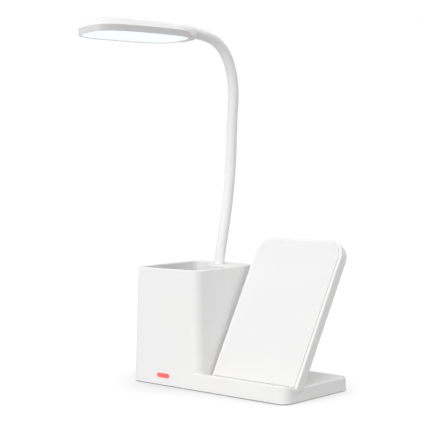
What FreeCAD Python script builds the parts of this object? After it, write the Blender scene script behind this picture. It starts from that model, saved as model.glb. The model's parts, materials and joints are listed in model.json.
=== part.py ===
import FreeCAD, Part
import math
import os
from FreeCAD import Placement, Rotation, Vector

# Desk lamp on an L-shaped organiser base: a square pen pot with a gooseneck lamp behind it, and a low
# tray that carries a leaning wireless-charging plate.  Millimetres.  +X is the tray's side, -Y the
# front, +Z up.  The origin is the centre of the base on the surface that it stands on.

# ---- base -----------------------------------------------------------------------------------------
BASE_W = 180.0            # whole base, left to right, at its bottom edge
BASE_D = 85.8             # whole base, front to back, at its bottom edge
FOOT_LIFT = 1.0           # height of the base's bottom edge above the desk
POT_W = 83.1              # pen pot, left to right, at the bottom edge
POT_H = 102.1             # bottom edge to rim
LIP_H = 14.2              # bottom edge to the top of the front lip
DECK_H = 11.0             # bottom edge to the deck around the plate
LIP_TOP_W = 2.2           # flat top of the front lip
RAMP_D = 13.0             # ramp from the lip down to the deck
DRAFT_DEG = 1.87          # outer walls lean in by this much
CORNER_R = 8.3            # upright corners
EDGE_R = 1.3              # top edges
SHELL_T = 2.2             # wall of the base housing
RIM_W = 4.0               # flat width of the pot's rim
RIM_T = 3.0               # thickness of the rim plate
RIM_EDGE_R = 1.1          # inner edge of the rim
POCKET_R = 6.0            # upright corners of the pen pocket
POCKET_WEB_R = 8.0        # pocket corner between the right wall and the neck column
CUP_T = 1.8               # wall of the pen cup
CUP_FLOOR_T = 2.0
CUP_LIFT = 11.0           # bottom edge to the underside of the pen cup

# ---- underside ------------------------------------------------------------------------------------
COVER_T = 2.0
COVER_GAP = 0.2           # bottom cover to the housing's walls
FOOT_R = 6.0
FOOT_SEAT = 0.8           # depth of a foot's recess in the cover
FOOT_IN_X = 24.0          # foot centres, in from the base's sides
FOOT_IN_Y = 14.0
SCREW_R = 1.45            # shank of the housing screws
SCREW_L = 6.6             # shank length
SCREW_HEAD_R = 2.6
SCREW_HEAD_H = 1.1
SCREW_GAP = 0.05          # shank to its hole
HEAD_GAP = 0.2            # screw head to its counterbore
TIP_GAP = 0.6             # screw tip to the end of its hole
RECESS_AF = 0.9           # hex recess across flats, as a share of the screw head's radius
RECESS_DEPTH = 0.4        # and its depth, as a share of the head's height
BOSS_R = 3.6              # screw bosses
BOSS_IN = 10.5            # corner bosses, in from the base's sides
MID_BOSS_IN = 7.4         # middle bosses, in from the front and the back
CORNER_BOSS_H = 8.0       # height of the bosses that stand in the pot's corners
RIB_T = 2.0
BALLAST = (58.0, 50.0, 4.0)
BALLAST_R = 3.0

# ---- electronics in the base ----------------------------------------------------------------------
BOARD_T = 1.2                       # main board
BOARD_LIFT = 1.6                    # posts under it
BOARD_LEFT_GAP = 12.3               # board's left edge to the middle screw boss
BOARD_RIGHT_GAP = 4.9               # board's right edge to the corner screw boss
BOARD_FRONT_GAP = 12.8              # board's front edge to the slot's bed
BOARD_BACK_GAP = 1.0                # board's back edge to the housing's wall
CHIP = (7.0, 7.0, 1.0)              # driver chip on the main board
INDUCTOR = (6.0, 6.0, 2.8)
REGULATOR = (5.0, 4.0, 1.5)
CAP_R = 1.9
CAP_H = 2.9
CAP_PITCH = 5.0
POST_R = 2.4
POST_IN = 3.6                       # post centres, in from the board's edges
SMALL_SCREW_R = 0.9
SMALL_HEAD_R = 1.7
SMALL_HEAD_H = 0.8
USB = (8.94, 7.3, 3.2)              # inlet shell
USB_IN = 19.0                       # inlet's centre, in from the board's left edge
USB_R = 1.5
USB_WALL = 0.35
USB_BACK_T = 1.0                    # back of the inlet's shell
TONGUE_ROOT = 0.5                   # tongue's root inside that back
USB_GAP = 0.3                       # shell to the housing's opening
USB_SET_IN = 0.5                    # shell's mouth behind the housing's face
TONGUE = (6.7, 4.6, 0.7)
INDICATOR = (15.2, 3.9)             # red indicator window, width and height
INDICATOR_X_IN = 40.3               # its centre, in from the base's left side
INDICATOR_Z = 8.1                   # and above the bottom edge
INDICATOR_PROUD = 0.15
LENS_BACK = 1.6                     # how far the window's body reaches past the wall
LED_DEPTH = 0.9                     # depth of the indicator's LEDs
INDICATOR_BOARD = (24.0, 9.0, 1.0)
INDICATOR_LED = (2.0, 1.6)          # across and up
INDICATOR_PITCH = 4.5
FOIL = (26.0, 12.0, 0.3)            # touch electrode on the inside of the front wall
FOIL_Z = 30.0

# ---- charging plate -------------------------------------------------------------------------------
PLATE_TILT = 30.66        # lean from upright
PLATE_T = 8.7
PLATE_L = 131.0           # from the level of the lip's top, up the slope
PLATE_FRONT_IN = 17.3     # plate's face at the level of the lip's top, in from the base's front
PLATE_RIGHT_IN = 0.5      # plate's right side, in from the base's right side
PLATE_W = 94.7            # at the level of the lip's top
PLATE_FLARE = 1.8         # left side leans out beside the pot's drafted wall, gained over the length
PLATE_CORNER_R = 17.0
PLATE_EDGE_R = 0.9
SLOT_H = 7.4              # bottom edge to the slot's floor
SLOT_FLOOR_T = 2.0
SLOT_GAP = 0.15           # plate to the slot's walls
PLATE_LIFT = 0.35         # plate's end above the slot's floor
FACE_IN = 2.5             # rim around the face panel
FACE_GAP = 0.15
FACE_T = 1.9
FACE_PROUD = 0.5          # face panel above the rim around it
FACE_EDGE_R = 0.15
FACE_FOOT = 3.25          # its recess ends this far down the slope from the lip's level
CAVITY_IN = 7.0           # plate's hollow, in from its sides
CAVITY_FLOOR = 6.0        # depth of the hollow's floor behind the face
CAVITY_LOW = 10.0         # hollow's lower end, up the slope
COIL_R = 22.0
COIL_HOLE_R = 10.0
COIL_T = 1.4
COIL_UP = 72.0            # coil's centre, up the slope
COIL_CLEAR = 0.15         # coil to the face panel
FERRITE = (50.0, 50.0, 1.0)
CHARGER_BOARD = (44.0, 24.0, 1.0)
CHARGER_UP = 26.0
CHARGER_POST = 1.0
CHARGER_CHIP = (6.0, 6.0, 0.9)
CHARGER_COIL = (4.0, 4.0, 1.3)
CHARGER_PART = (2.5, 4.0, 1.1)
PLATE_SCREW_SPAN = 60.0
PLATE_SCREW_L = 7.0
PLATE_SCREW_Y = 20.6      # in from the base's front

# ---- gooseneck ------------------------------------------------------------------------------------
NECK_X_IN = 51.4          # neck's plane, in from the base's left side
NECK_Y_IN = 63.3          # neck's foot, in from the base's front
NECK_D = 9.5
HOSE_D = 6.2
HOSE_BORE = 4.0
HOSE_GAP = 0.2            # hose to its sleeve
NECK_COLUMN_R = 10.5      # round column that carries the neck
ROOT_L = 8.0              # neck from the rim to the first bend
ROOT_TURN = 13.2          # backward lean gained there, degrees
LINK_L = 35.0             # neck between two bends
LAST_LINK_L = 27.2
LINK_TURNS = (0.3, -5.8, -4.5, 3.5, -27.5, -54.4, -14.9)    # rest curve of each link, degrees
BEND_GAP = 0.3            # ball end to the next link's socket
SOCKET_DEPTH = 4.5        # counterbore for the neck in the rim
NECK_FIT = 0.1            # neck and ferrules to their holes
FERRULE_R = 4.2
FERRULE_SHOULDER = 1.5
COLUMN_TUBE_R = 7.0
COLUMN_TUBE_L = 12.0
NUT_AF = 12.0
NUT_H = 4.0
WASHER_R = 6.6
WASHER_T = 1.0
FERRULE_TAIL = 3.0        # ferrule past its nut

# ---- lamp head ------------------------------------------------------------------------------------
HEAD_L = 111.7
HEAD_W = 41.8
HEAD_POWER = 3.25         # superellipse exponent of the outline
HEAD_AHEAD = 8.18         # head's rear end in front of the end of the neck's last bend
HEAD_BELOW = 7.79         # head's lower rim below the neck's middle there
OUTLINE_POINTS = 40
HEAD_ROLL = 5.2
HEAD_PITCH = 0.5
BAND_H = 5.3
BAND_T = 1.4
DOME_H = 8.7
DOME_T = 1.5
DOME_SHARE_W = 0.88       # share of the half width over which the dome rises
DOME_SHARE_L = 0.40       # and of the half length
DOME_STEPS = (0.0, 0.2, 0.4, 0.6, 0.8, 1.0)      # its sections, as shares of that way in
DIFFUSER_T = 1.8
DIFFUSER_GAP = 0.1
DIFFUSER_SET_IN = 0.25
LEDGE_W = 1.4
LEDGE_T = 1.2
LED_BOARD_IN = 4.4
LED_BOARD_T = 1.0
LED_BOARD_Z = 5.9
LED = (2.8, 3.5, 0.7)
LED_ROWS = 2
LED_COLUMNS = 10
LED_PITCH = 9.0
LED_ROW_GAP = 17.0
HEAD_SCREW_SPAN = 72.0
HEAD_SCREW_L = 3.4
HEAD_BOSS_R = 2.6
HEAD_BOSS_SHARE = 0.9     # bosses stop this share of the shell's thickness below its top
COLLAR_W = 20.0
COLLAR_FRONT = 12.5       # collar reaches this far over the head's dome
COLLAR_OVER = 3.2         # collar's rear face past the end of the neck's last bend
COLLAR_TOP = 12.8         # head's lower rim to the collar's top
COLLAR_R = 5.0
COLLAR_T = 1.2
COLLAR_GAP = 0.12
COLLAR_FACE_T = 4.2
FLANGE_R = 3.5
FLANGE_T = 2.6

# ---- derived places -------------------------------------------------------------------------------
LEFT = -BASE_W / 2
RIGHT = BASE_W / 2
FRONT = -BASE_D / 2
BACK = BASE_D / 2
FLOOR = FOOT_LIFT                              # the base's bottom edge
SLOPE = math.tan(math.radians(DRAFT_DEG))
RIM_Z = FLOOR + POT_H
DECK_Z = FLOOR + DECK_H
COVER_TOP = FLOOR + COVER_T
DECK_UNDER = DECK_Z - SHELL_T
SLOT_Z = FLOOR + SLOT_H
SLOT_UNDER = SLOT_Z - SLOT_FLOOR_T
POT_RIGHT = LEFT + POT_W
RIM_INSET = POT_H * SLOPE                      # the rim's sides stand in by this much
NECK_X = LEFT + NECK_X_IN
NECK_Y = FRONT + NECK_Y_IN
NECK_R = NECK_D / 2
HOSE_R = HOSE_D / 2
SLEEVE_BORE = HOSE_R + HOSE_GAP
PLATE_RIGHT = RIGHT - PLATE_RIGHT_IN
PLATE_LEFT = PLATE_RIGHT - PLATE_W
PLATE_MID = (PLATE_LEFT + PLATE_RIGHT) / 2
SCREW_BOSSES = [(LEFT + BOSS_IN, FRONT + BOSS_IN), (LEFT + BOSS_IN, BACK - BOSS_IN),
                (POT_RIGHT, FRONT + MID_BOSS_IN), (POT_RIGHT, BACK - MID_BOSS_IN),
                (RIGHT - BOSS_IN, FRONT + MID_BOSS_IN), (RIGHT - BOSS_IN, BACK - BOSS_IN)]
FOOT_PLACES = [(sx * (BASE_W / 2 - FOOT_IN_X), sy * (BASE_D / 2 - FOOT_IN_Y))
               for sx in (-1, 1) for sy in (-1, 1)]
PLATE_UNDER = 3 * PLATE_T                      # the plate is drawn this far below the lip, then trimmed
SLOT_RUN = math.tan(math.radians(PLATE_TILT))  # the plate's face goes back by this much per unit of height
SLOT_FRONT = FRONT + PLATE_FRONT_IN - (LIP_H - SLOT_H) * SLOT_RUN
SLOT_BACK = FRONT + PLATE_FRONT_IN + PLATE_T / math.cos(math.radians(PLATE_TILT))
BED_FRONT = SLOT_FRONT - SHELL_T
BED_BACK = SLOT_BACK + SHELL_T
BOARD_X0 = POT_RIGHT + BOSS_R + BOARD_LEFT_GAP
BOARD_X1 = RIGHT - BOSS_IN - BOSS_R - BOARD_RIGHT_GAP
BOARD_Y0 = BED_BACK + BOARD_FRONT_GAP
BOARD_Y1 = BACK - SHELL_T - BOARD_BACK_GAP
BOARD_Z = COVER_TOP + BOARD_LIFT
BOARD_TOP = BOARD_Z + BOARD_T
USB_X = BOARD_X0 + USB_IN
USB_Z = BOARD_TOP + USB[2] / 2
PLATE_SCREWS = [(PLATE_MID + side * PLATE_SCREW_SPAN / 2, FRONT + PLATE_SCREW_Y) for side in (-1, 1)]
BOARD_POSTS = [(x, y) for x in (BOARD_X0 + POST_IN, BOARD_X1 - POST_IN)
               for y in (BOARD_Y0 + POST_IN, BOARD_Y1 - POST_IN)]
X_AXIS = Vector(1, 0, 0)
Y_AXIS = Vector(0, 1, 0)
Z_AXIS = Vector(0, 0, 1)
ORIGIN = Vector(0, 0, 0)


# ---- plain shapes ---------------------------------------------------------------------------------
def box(x0, x1, y0, y1, z0, z1):
    return Part.makeBox(x1 - x0, y1 - y0, z1 - z0, Vector(x0, y0, z0))


def centred_box(size, x, y, z0):
    return box(x - size[0] / 2, x + size[0] / 2, y - size[1] / 2, y + size[1] / 2, z0, z0 + size[2])


def rod(radius, length, base, axis=Z_AXIS):
    return Part.makeCylinder(radius, length, base, axis)


def join(shapes):
    whole = shapes[0]
    for shape in shapes[1:]:
        whole = whole.fuse(shape)
    return whole.removeSplitter()


def upright_edges(shape, tall):
    """Edges that climb by at least this much and lean only a little."""
    found = []
    for edge in shape.Edges:
        run = edge.Vertexes[-1].Point - edge.Vertexes[0].Point
        if abs(run.z) >= tall and math.hypot(run.x, run.y) < 0.3 * abs(run.z):
            found.append(edge)
    return found


def level_edges(shape, z):
    """Edges that lie in the level plane z."""
    return [edge for edge in shape.Edges
            if abs(edge.BoundBox.ZMin - z) < 0.01 and abs(edge.BoundBox.ZMax - z) < 0.01]


def round_box(x0, x1, y0, y1, z0, z1, radius):
    block = box(x0, x1, y0, y1, z0, z1)
    return block.makeFillet(radius, upright_edges(block, (z1 - z0) / 2))


def drafted_box(x0, x1, y0, y1, z0, z1):
    """A block whose four sides lean in by the draft, with true flat sides."""
    inset = (z1 - z0) * SLOPE
    wedge = Part.makeWedge(x0, z0, -y1, inset - y1, x0 + inset, x1, z1, -y0, -y0 - inset, x1 - inset)
    wedge.rotate(ORIGIN, X_AXIS, 90)
    return wedge


def hex_prism(across_flats, height, base):
    radius = across_flats / math.sqrt(3)
    corners = [math.radians(60 * i) for i in range(7)]
    points = [base + Vector(radius * math.cos(a), radius * math.sin(a), 0) for a in corners]
    return Part.Face(Part.makePolygon(points)).extrude(Vector(0, 0, height))


def screw(tip_up, x, y, z_seat, radius, length, head_r, head_h):
    """A hex-socket screw whose head is seated at z_seat, with its shank pointing up or down."""
    head = rod(head_r, head_h, Vector(0, 0, -head_h))
    recess = hex_prism(head_r * RECESS_AF, head_h, Vector(0, 0, -head_h * (2 - RECESS_DEPTH)))
    piece = rod(radius, length, ORIGIN).fuse(head).removeSplitter().cut(recess)
    if not tip_up:
        piece.rotate(ORIGIN, X_AXIS, 180)
    piece.translate(Vector(x, y, z_seat))
    return piece


# ---- base housing ---------------------------------------------------------------------------------
def tray_profile(x0, x1):
    """Side profile of the tray: front lip, ramp, deck."""
    lip_back = FRONT + LIP_H * SLOPE + LIP_TOP_W
    points = [(FRONT, FLOOR), (FRONT, FLOOR + LIP_H), (lip_back, FLOOR + LIP_H),
              (lip_back + RAMP_D, DECK_Z), (BACK, DECK_Z), (BACK, FLOOR), (FRONT, FLOOR)]
    wire = Part.makePolygon([Vector(x0, y, z) for y, z in points])
    return Part.Face(wire).extrude(Vector(x1 - x0, 0, 0))


def pot_block():
    block = drafted_box(LEFT, POT_RIGHT, FRONT, BACK, FLOOR, RIM_Z)
    block = block.makeFillet(CORNER_R, upright_edges(block, POT_H / 2))
    return block.makeFillet(EDGE_R, level_edges(block, RIM_Z))


def tray_rim_edges(block, x0):
    """The top edges along the tray's front, right side and back."""
    top = []
    for edge in block.Edges:
        middle = edge.valueAt((edge.FirstParameter + edge.LastParameter) / 2)
        outer = middle.x > RIGHT - CORNER_R or middle.y < FRONT + EDGE_R or middle.y > BACK - EDGE_R
        if edge.BoundBox.ZMin > DECK_Z - 0.01 and middle.x > x0 + 1 and outer:
            top.append(edge)
    return top


def tray_block():
    x0 = LEFT + POT_W / 2
    block = drafted_box(LEFT, RIGHT, FRONT, BACK, FLOOR, FLOOR + LIP_H)
    block = block.makeFillet(CORNER_R, upright_edges(block, LIP_H / 2))
    block = block.common(tray_profile(x0, RIGHT + 1))
    return block.makeFillet(EDGE_R, tray_rim_edges(block, x0))


def pocket(grow, z0, z1):
    """The pen pocket, or its cup's outer shape when grown: a square with the neck's column left in."""
    x0 = LEFT + RIM_INSET + RIM_W - grow
    x1 = POT_RIGHT - RIM_INSET - RIM_W + grow
    y0 = FRONT + RIM_INSET + RIM_W - grow
    y1 = BACK - RIM_INSET - RIM_W + grow
    room = round_box(x0, x1, y0, y1, z0, z1, POCKET_R + grow)
    radius = NECK_COLUMN_R - grow
    column = join([rod(radius, z1 - z0, Vector(NECK_X, NECK_Y, z0)),
                   box(NECK_X, x1 + 1, NECK_Y - radius, y1 + 1, z0, z1),
                   box(NECK_X - radius, x1 + 1, NECK_Y, y1 + 1, z0, z1)])
    room = room.cut(column)
    inner = [edge for edge in upright_edges(room, (z1 - z0) / 2)
             if abs(edge.Vertexes[0].X - x1) < 0.01 and abs(edge.Vertexes[0].Y - (NECK_Y - radius)) < 0.01]
    room = room.makeFillet(POCKET_WEB_R + grow, inner)
    back = [edge for edge in upright_edges(room, (z1 - z0) / 2)
            if abs(edge.Vertexes[0].X - (NECK_X - radius)) < 0.01 and abs(edge.Vertexes[0].Y - y1) < 0.01]
    return room.makeFillet(POCKET_R / 2 + grow, back)


def plate_place():
    """The plate's own frame: X across, Y up the slope, Z out of its face."""
    base = Vector(0, FRONT + PLATE_FRONT_IN, FLOOR + LIP_H)
    return Placement(base, Rotation(X_AXIS, 90 - PLATE_TILT))


def plate_slot():
    """The slanted slot that the plate stands in, open at the base's right side."""
    slab = box(PLATE_LEFT - SLOT_GAP, RIGHT + 5, -PLATE_UNDER, PLATE_UNDER, -PLATE_T - SLOT_GAP, SLOT_GAP)
    slab.Placement = plate_place()
    return slab.common(box(LEFT, RIGHT + 10, FRONT, BACK, SLOT_Z, RIM_Z))


def shell_hollow():
    """The housing's inside: under the rim, under the deck, with the slot's floor left in."""
    y0 = FRONT + SHELL_T
    y1 = BACK - SHELL_T
    pot = drafted_box(LEFT + SHELL_T, POT_RIGHT - SHELL_T, y0, y1, FLOOR, RIM_Z)
    pot = pot.makeFillet(CORNER_R - SHELL_T, upright_edges(pot, POT_H / 2))
    pot = pot.common(box(LEFT, RIGHT, FRONT, BACK, FLOOR, RIM_Z - RIM_T))
    tray = drafted_box(LEFT + SHELL_T, RIGHT - SHELL_T, y0, y1, FLOOR, FLOOR + LIP_H)
    tray = tray.makeFillet(CORNER_R - SHELL_T, upright_edges(tray, LIP_H / 2))
    tray = tray.common(box(LEFT + POT_W / 2, RIGHT, FRONT, BACK, FLOOR, DECK_UNDER))
    bed = box(PLATE_LEFT - SHELL_T, RIGHT, BED_FRONT, BED_BACK, SLOT_UNDER, DECK_Z)
    return pot.fuse(tray.cut(bed)).removeSplitter()


def screw_boss(x, y):
    """A boss for a cover screw, tied to the nearest outer wall where no deck is above it."""
    under_deck = x > POT_RIGHT - BOSS_R
    top = DECK_UNDER if under_deck else COVER_TOP + CORNER_BOSS_H
    pieces = [rod(BOSS_R, top - COVER_TOP, Vector(x, y, COVER_TOP))]
    if not under_deck:
        side = FRONT if y < 0 else BACK
        low, high = sorted((y, side - math.copysign(SHELL_T / 2, side)))
        pieces.append(box(x - RIB_T / 2, x + RIB_T / 2, low, high, COVER_TOP, top))
        pieces.append(box(LEFT + SHELL_T / 2, x, y - RIB_T / 2, y + RIB_T / 2, COVER_TOP, top))
    return join(pieces)


def usb_opening(grow, y0, y1):
    """A lying rounded slot at the inlet's place."""
    half_w = USB[0] / 2 + grow
    half_h = USB[2] / 2 + grow
    block = box(USB_X - half_w, USB_X + half_w, y0, y1, USB_Z - half_h, USB_Z + half_h)
    along_y = [edge for edge in block.Edges
               if abs(edge.Vertexes[0].Y - edge.Vertexes[-1].Y) > (y1 - y0) / 2]
    return block.makeFillet(USB_R + grow, along_y)


def indicator_window(grow, y0, y1):
    """The indicator's stadium-shaped window through the pot's front wall."""
    x = LEFT + INDICATOR_X_IN
    z = FLOOR + INDICATOR_Z
    radius = INDICATOR[1] / 2 + grow
    half = INDICATOR[0] / 2 - INDICATOR[1] / 2
    ends = [rod(radius, y1 - y0, Vector(x + side * half, y0, z), Y_AXIS) for side in (-1, 1)]
    return join([box(x - half, x + half, y0, y1, z - radius, z + radius)] + ends)


def round_pocket_rim(body):
    """Rounds the rim's inner edge, round the pocket's mouth."""
    reach_x = LEFT + RIM_INSET + RIM_W - 0.01
    reach_y = BACK - RIM_INSET - RIM_W + 0.01
    boxes = [(edge, edge.BoundBox) for edge in level_edges(body, RIM_Z)]
    mouth = [edge for edge, area in boxes
             if area.XMin > reach_x and area.YMax < reach_y and area.YMin > -reach_y]
    return body.makeFillet(RIM_EDGE_R, mouth)


def base_housing():
    body = pot_block().fuse(tray_block()).removeSplitter()
    body = body.cut(shell_hollow())
    body = round_pocket_rim(body.cut(pocket(0, RIM_Z - RIM_T - 1, RIM_Z + 1)))
    tube_foot = Vector(NECK_X, NECK_Y, RIM_Z - COLUMN_TUBE_L)
    body = body.fuse(rod(COLUMN_TUBE_R, COLUMN_TUBE_L, tube_foot))
    body = body.cut(rod(FERRULE_R + NECK_FIT, COLUMN_TUBE_L + 1, tube_foot))
    body = body.cut(rod(NECK_R + NECK_FIT, SOCKET_DEPTH + 1, Vector(NECK_X, NECK_Y, RIM_Z - SOCKET_DEPTH)))
    depth = SCREW_HEAD_H + SCREW_L - COVER_T + TIP_GAP
    for x, y in SCREW_BOSSES:
        body = body.fuse(screw_boss(x, y))
        body = body.cut(rod(SCREW_R + SCREW_GAP, depth, Vector(x, y, COVER_TOP)))
    body = body.cut(plate_slot())
    for x, y in PLATE_SCREWS:
        body = body.cut(rod(SCREW_R + HEAD_GAP, SLOT_FLOOR_T + 2, Vector(x, y, SLOT_UNDER - 1)))
    body = body.cut(usb_opening(USB_GAP, BACK - SHELL_T - 3, BACK + 1))
    body = body.cut(indicator_window(NECK_FIT, FRONT - 1, FRONT + SHELL_T + 2))
    return body.removeSplitter()


def pen_cup():
    outer = pocket(CUP_T, FLOOR + CUP_LIFT, RIM_Z - RIM_T)
    return outer.cut(pocket(0, FLOOR + CUP_LIFT + CUP_FLOOR_T, RIM_Z))


# ---- underside ------------------------------------------------------------------------------------
def bottom_cover():
    gap = SHELL_T + COVER_GAP
    plate = round_box(LEFT + gap, RIGHT - gap, FRONT + gap, BACK - gap, FLOOR, COVER_TOP, CORNER_R - gap)
    for x, y in SCREW_BOSSES:
        plate = plate.cut(rod(SCREW_R + HEAD_GAP, COVER_T + 2, Vector(x, y, FLOOR - 1)))
        plate = plate.cut(rod(SCREW_HEAD_R + HEAD_GAP, SCREW_HEAD_H, Vector(x, y, FLOOR)))
    for x, y in FOOT_PLACES:
        plate = plate.cut(rod(FOOT_R, FOOT_SEAT, Vector(x, y, FLOOR)))
    for x, y in BOARD_POSTS:
        post = rod(POST_R, BOARD_LIFT, Vector(x, y, COVER_TOP))
        plate = plate.fuse(post).cut(rod(SMALL_SCREW_R + SCREW_GAP, BOARD_LIFT, Vector(x, y, COVER_TOP)))
    return plate.removeSplitter()


def rubber_feet():
    feet = []
    for x, y in FOOT_PLACES:
        foot = rod(FOOT_R, FOOT_LIFT + FOOT_SEAT, Vector(x, y, 0))
        feet.append(foot.makeFillet(FOOT_LIFT * 0.4, level_edges(foot, 0)))
    return Part.makeCompound(feet)


def cover_screws():
    seat = FLOOR + SCREW_HEAD_H
    return Part.makeCompound([screw(True, x, y, seat, SCREW_R, SCREW_L, SCREW_HEAD_R, SCREW_HEAD_H)
                              for x, y in SCREW_BOSSES])


def ballast_plate():
    x = (LEFT + POT_RIGHT) / 2
    plate = centred_box(BALLAST, x, 0, COVER_TOP)
    return plate.makeFillet(BALLAST_R, upright_edges(plate, BALLAST[2] / 2))


# ---- electronics in the base ----------------------------------------------------------------------
def control_board():
    board = box(BOARD_X0, BOARD_X1, BOARD_Y0, BOARD_Y1, BOARD_Z, BOARD_TOP)
    for x, y in BOARD_POSTS:
        board = board.cut(rod(SMALL_SCREW_R + HEAD_GAP, BOARD_T + 2, Vector(x, y, BOARD_Z - 1)))
    return board


def board_components():
    """Driver chip, coil, regulator and two capacitors on the main board."""
    width = BOARD_X1 - BOARD_X0
    depth = BOARD_Y1 - BOARD_Y0
    x = BOARD_X0 + width / 2
    y = BOARD_Y0 + depth / 2
    chip = centred_box(CHIP, x, y, BOARD_TOP)
    inductor = centred_box(INDUCTOR, x - width / 4, y + depth / 10, BOARD_TOP)
    regulator = centred_box(REGULATOR, x + width / 4, y - depth / 5, BOARD_TOP)
    first = Vector(x + width / 4, y + depth / 12, BOARD_TOP)
    caps = [rod(CAP_R, CAP_H, first + Vector(CAP_PITCH * i, 0, 0)) for i in range(2)]
    return Part.makeCompound([chip, inductor, regulator] + caps)


def board_screws():
    return Part.makeCompound([screw(False, x, y, BOARD_TOP, SMALL_SCREW_R, BOARD_T + BOARD_LIFT,
                                    SMALL_HEAD_R, SMALL_HEAD_H) for x, y in BOARD_POSTS])


def usb_c_socket():
    mouth = BACK - USB_SET_IN
    shell = usb_opening(0, mouth - USB[1], mouth)
    inner = mouth - USB[1] + USB_BACK_T
    hollow = usb_opening(-USB_WALL, inner, mouth + 1)
    tongue = box(USB_X - TONGUE[0] / 2, USB_X + TONGUE[0] / 2, inner - TONGUE_ROOT, inner + TONGUE[1],
                 USB_Z - TONGUE[2] / 2, USB_Z + TONGUE[2] / 2)
    return shell.cut(hollow).fuse(tongue).removeSplitter()


def indicator_lens():
    """The red window, its face following the drafted wall a hair proud of it."""
    face = FRONT + INDICATOR_Z * SLOPE - INDICATOR_PROUD
    back = FRONT + SHELL_T + LENS_BACK
    return indicator_window(0, face, back)


def indicator_leds():
    x = LEFT + INDICATOR_X_IN
    z = FLOOR + INDICATOR_Z
    y0 = FRONT + SHELL_T + LENS_BACK
    size = (INDICATOR_LED[0], LED_DEPTH, INDICATOR_LED[1])
    return Part.makeCompound([centred_box(size, x + INDICATOR_PITCH * i, y0 + LED_DEPTH / 2, z - size[2] / 2)
                              for i in (-1, 0, 1)])


def indicator_board():
    x = LEFT + INDICATOR_X_IN
    y0 = FRONT + SHELL_T + LENS_BACK + LED_DEPTH
    return box(x - INDICATOR_BOARD[0] / 2, x + INDICATOR_BOARD[0] / 2, y0, y0 + INDICATOR_BOARD[2],
               COVER_TOP, COVER_TOP + INDICATOR_BOARD[1])


def touch_foil():
    """The touch switch's electrode, stuck to the inside of the drafted front wall."""
    foil = box(-FOIL[0] / 2, FOIL[0] / 2, 0, FOIL[2], 0, FOIL[1])
    on_wall = Vector(LEFT + INDICATOR_X_IN, FRONT + SHELL_T + FOIL_Z * SLOPE, FLOOR + FOIL_Z)
    foil.Placement = Placement(on_wall, Rotation(X_AXIS, -DRAFT_DEG))
    return foil


# ---- charging plate -------------------------------------------------------------------------------
def plate_side(v, inset):
    """The left side at a height up the slope; the flare starts at the lip's level."""
    return PLATE_LEFT - PLATE_FLARE * max(v, 0) / PLATE_L + inset


def plate_slab(inset, v0, v1, front, back, corner_r):
    """A slab in the plate's own frame: a flared left side and round upper corners."""
    corners = [(PLATE_RIGHT - inset, v0), (PLATE_RIGHT - inset, v1),
               (plate_side(v1, inset), v1), (plate_side(0, inset), max(v0, 0)), (plate_side(0, inset), v0)]
    unique = [corner for i, corner in enumerate(corners) if corner != corners[i - 1]]
    wire = Part.makePolygon([Vector(x, v, back) for x, v in unique + unique[:1]])
    slab = Part.Face(wire).extrude(Vector(0, 0, front - back))
    upper = [edge for edge in upright_edges(slab, (front - back) / 2) if edge.Vertexes[0].Y > v1 - 0.01]
    return slab.makeFillet(corner_r, upper)


def plate_housing():
    low = -PLATE_UNDER
    slab = plate_slab(0, low, PLATE_L, 0, -PLATE_T, PLATE_CORNER_R)
    rims = [edge for z in (0, -PLATE_T) for edge in level_edges(slab, z) if edge.BoundBox.YMax > low + 0.01]
    slab = slab.makeFillet(PLATE_EDGE_R, rims)
    recess = FACE_PROUD - FACE_T
    slab = slab.cut(plate_slab(FACE_IN, -FACE_FOOT, PLATE_L - FACE_IN, 1, recess, PLATE_CORNER_R - FACE_IN))
    high = PLATE_L - CAVITY_IN
    slab = slab.cut(plate_slab(CAVITY_IN, CAVITY_LOW, high, 1, -CAVITY_FLOOR, PLATE_CORNER_R - CAVITY_IN))
    for x, v in charger_posts():
        slab = slab.fuse(rod(POST_R, CHARGER_POST, Vector(x, v, -CAVITY_FLOOR)))
    slab.Placement = plate_place()
    end = SLOT_Z + PLATE_LIFT
    slab = slab.cut(box(LEFT, RIGHT + 1, FRONT - BASE_D, BACK, -PLATE_L, end))
    for x, y in PLATE_SCREWS:
        slab = slab.cut(rod(SCREW_R + SCREW_GAP, PLATE_SCREW_L + TIP_GAP, Vector(x, y, SLOT_UNDER)))
    return slab.removeSplitter()


def plate_face():
    inset = FACE_IN + FACE_GAP
    panel = plate_slab(inset, FACE_GAP - FACE_FOOT, PLATE_L - inset, FACE_PROUD, FACE_PROUD - FACE_T,
                       PLATE_CORNER_R - inset)
    panel = panel.makeFillet(FACE_EDGE_R, level_edges(panel, FACE_PROUD))
    panel.Placement = plate_place()
    return panel


def coil_stack():
    """Depths behind the face of the coil, the ferrite and the foam, one on the other."""
    coil = FACE_T - FACE_PROUD + COIL_CLEAR
    ferrite = coil + COIL_T
    foam = ferrite + FERRITE[2]
    return coil, ferrite, foam


def charging_coil():
    depth = coil_stack()[0]
    base = Vector(PLATE_MID, COIL_UP, -depth - COIL_T)
    coil = rod(COIL_R, COIL_T, base).cut(rod(COIL_HOLE_R, COIL_T, base))
    coil.Placement = plate_place()
    return coil


def ferrite_sheet():
    sheet = centred_box(FERRITE, PLATE_MID, COIL_UP, -coil_stack()[1] - FERRITE[2])
    sheet.Placement = plate_place()
    return sheet


def coil_pad():
    """Foam that presses the coil against the face from the hollow's floor."""
    size = (FERRITE[0], FERRITE[1], CAVITY_FLOOR - coil_stack()[2])
    pad = centred_box(size, PLATE_MID, COIL_UP, -CAVITY_FLOOR)
    pad.Placement = plate_place()
    return pad


def charger_posts():
    half_w = CHARGER_BOARD[0] / 2 - POST_IN
    half_h = CHARGER_BOARD[1] / 2 - POST_IN
    return [(PLATE_MID + sx * half_w, CHARGER_UP + sy * half_h) for sx in (-1, 1) for sy in (-1, 1)]


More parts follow.
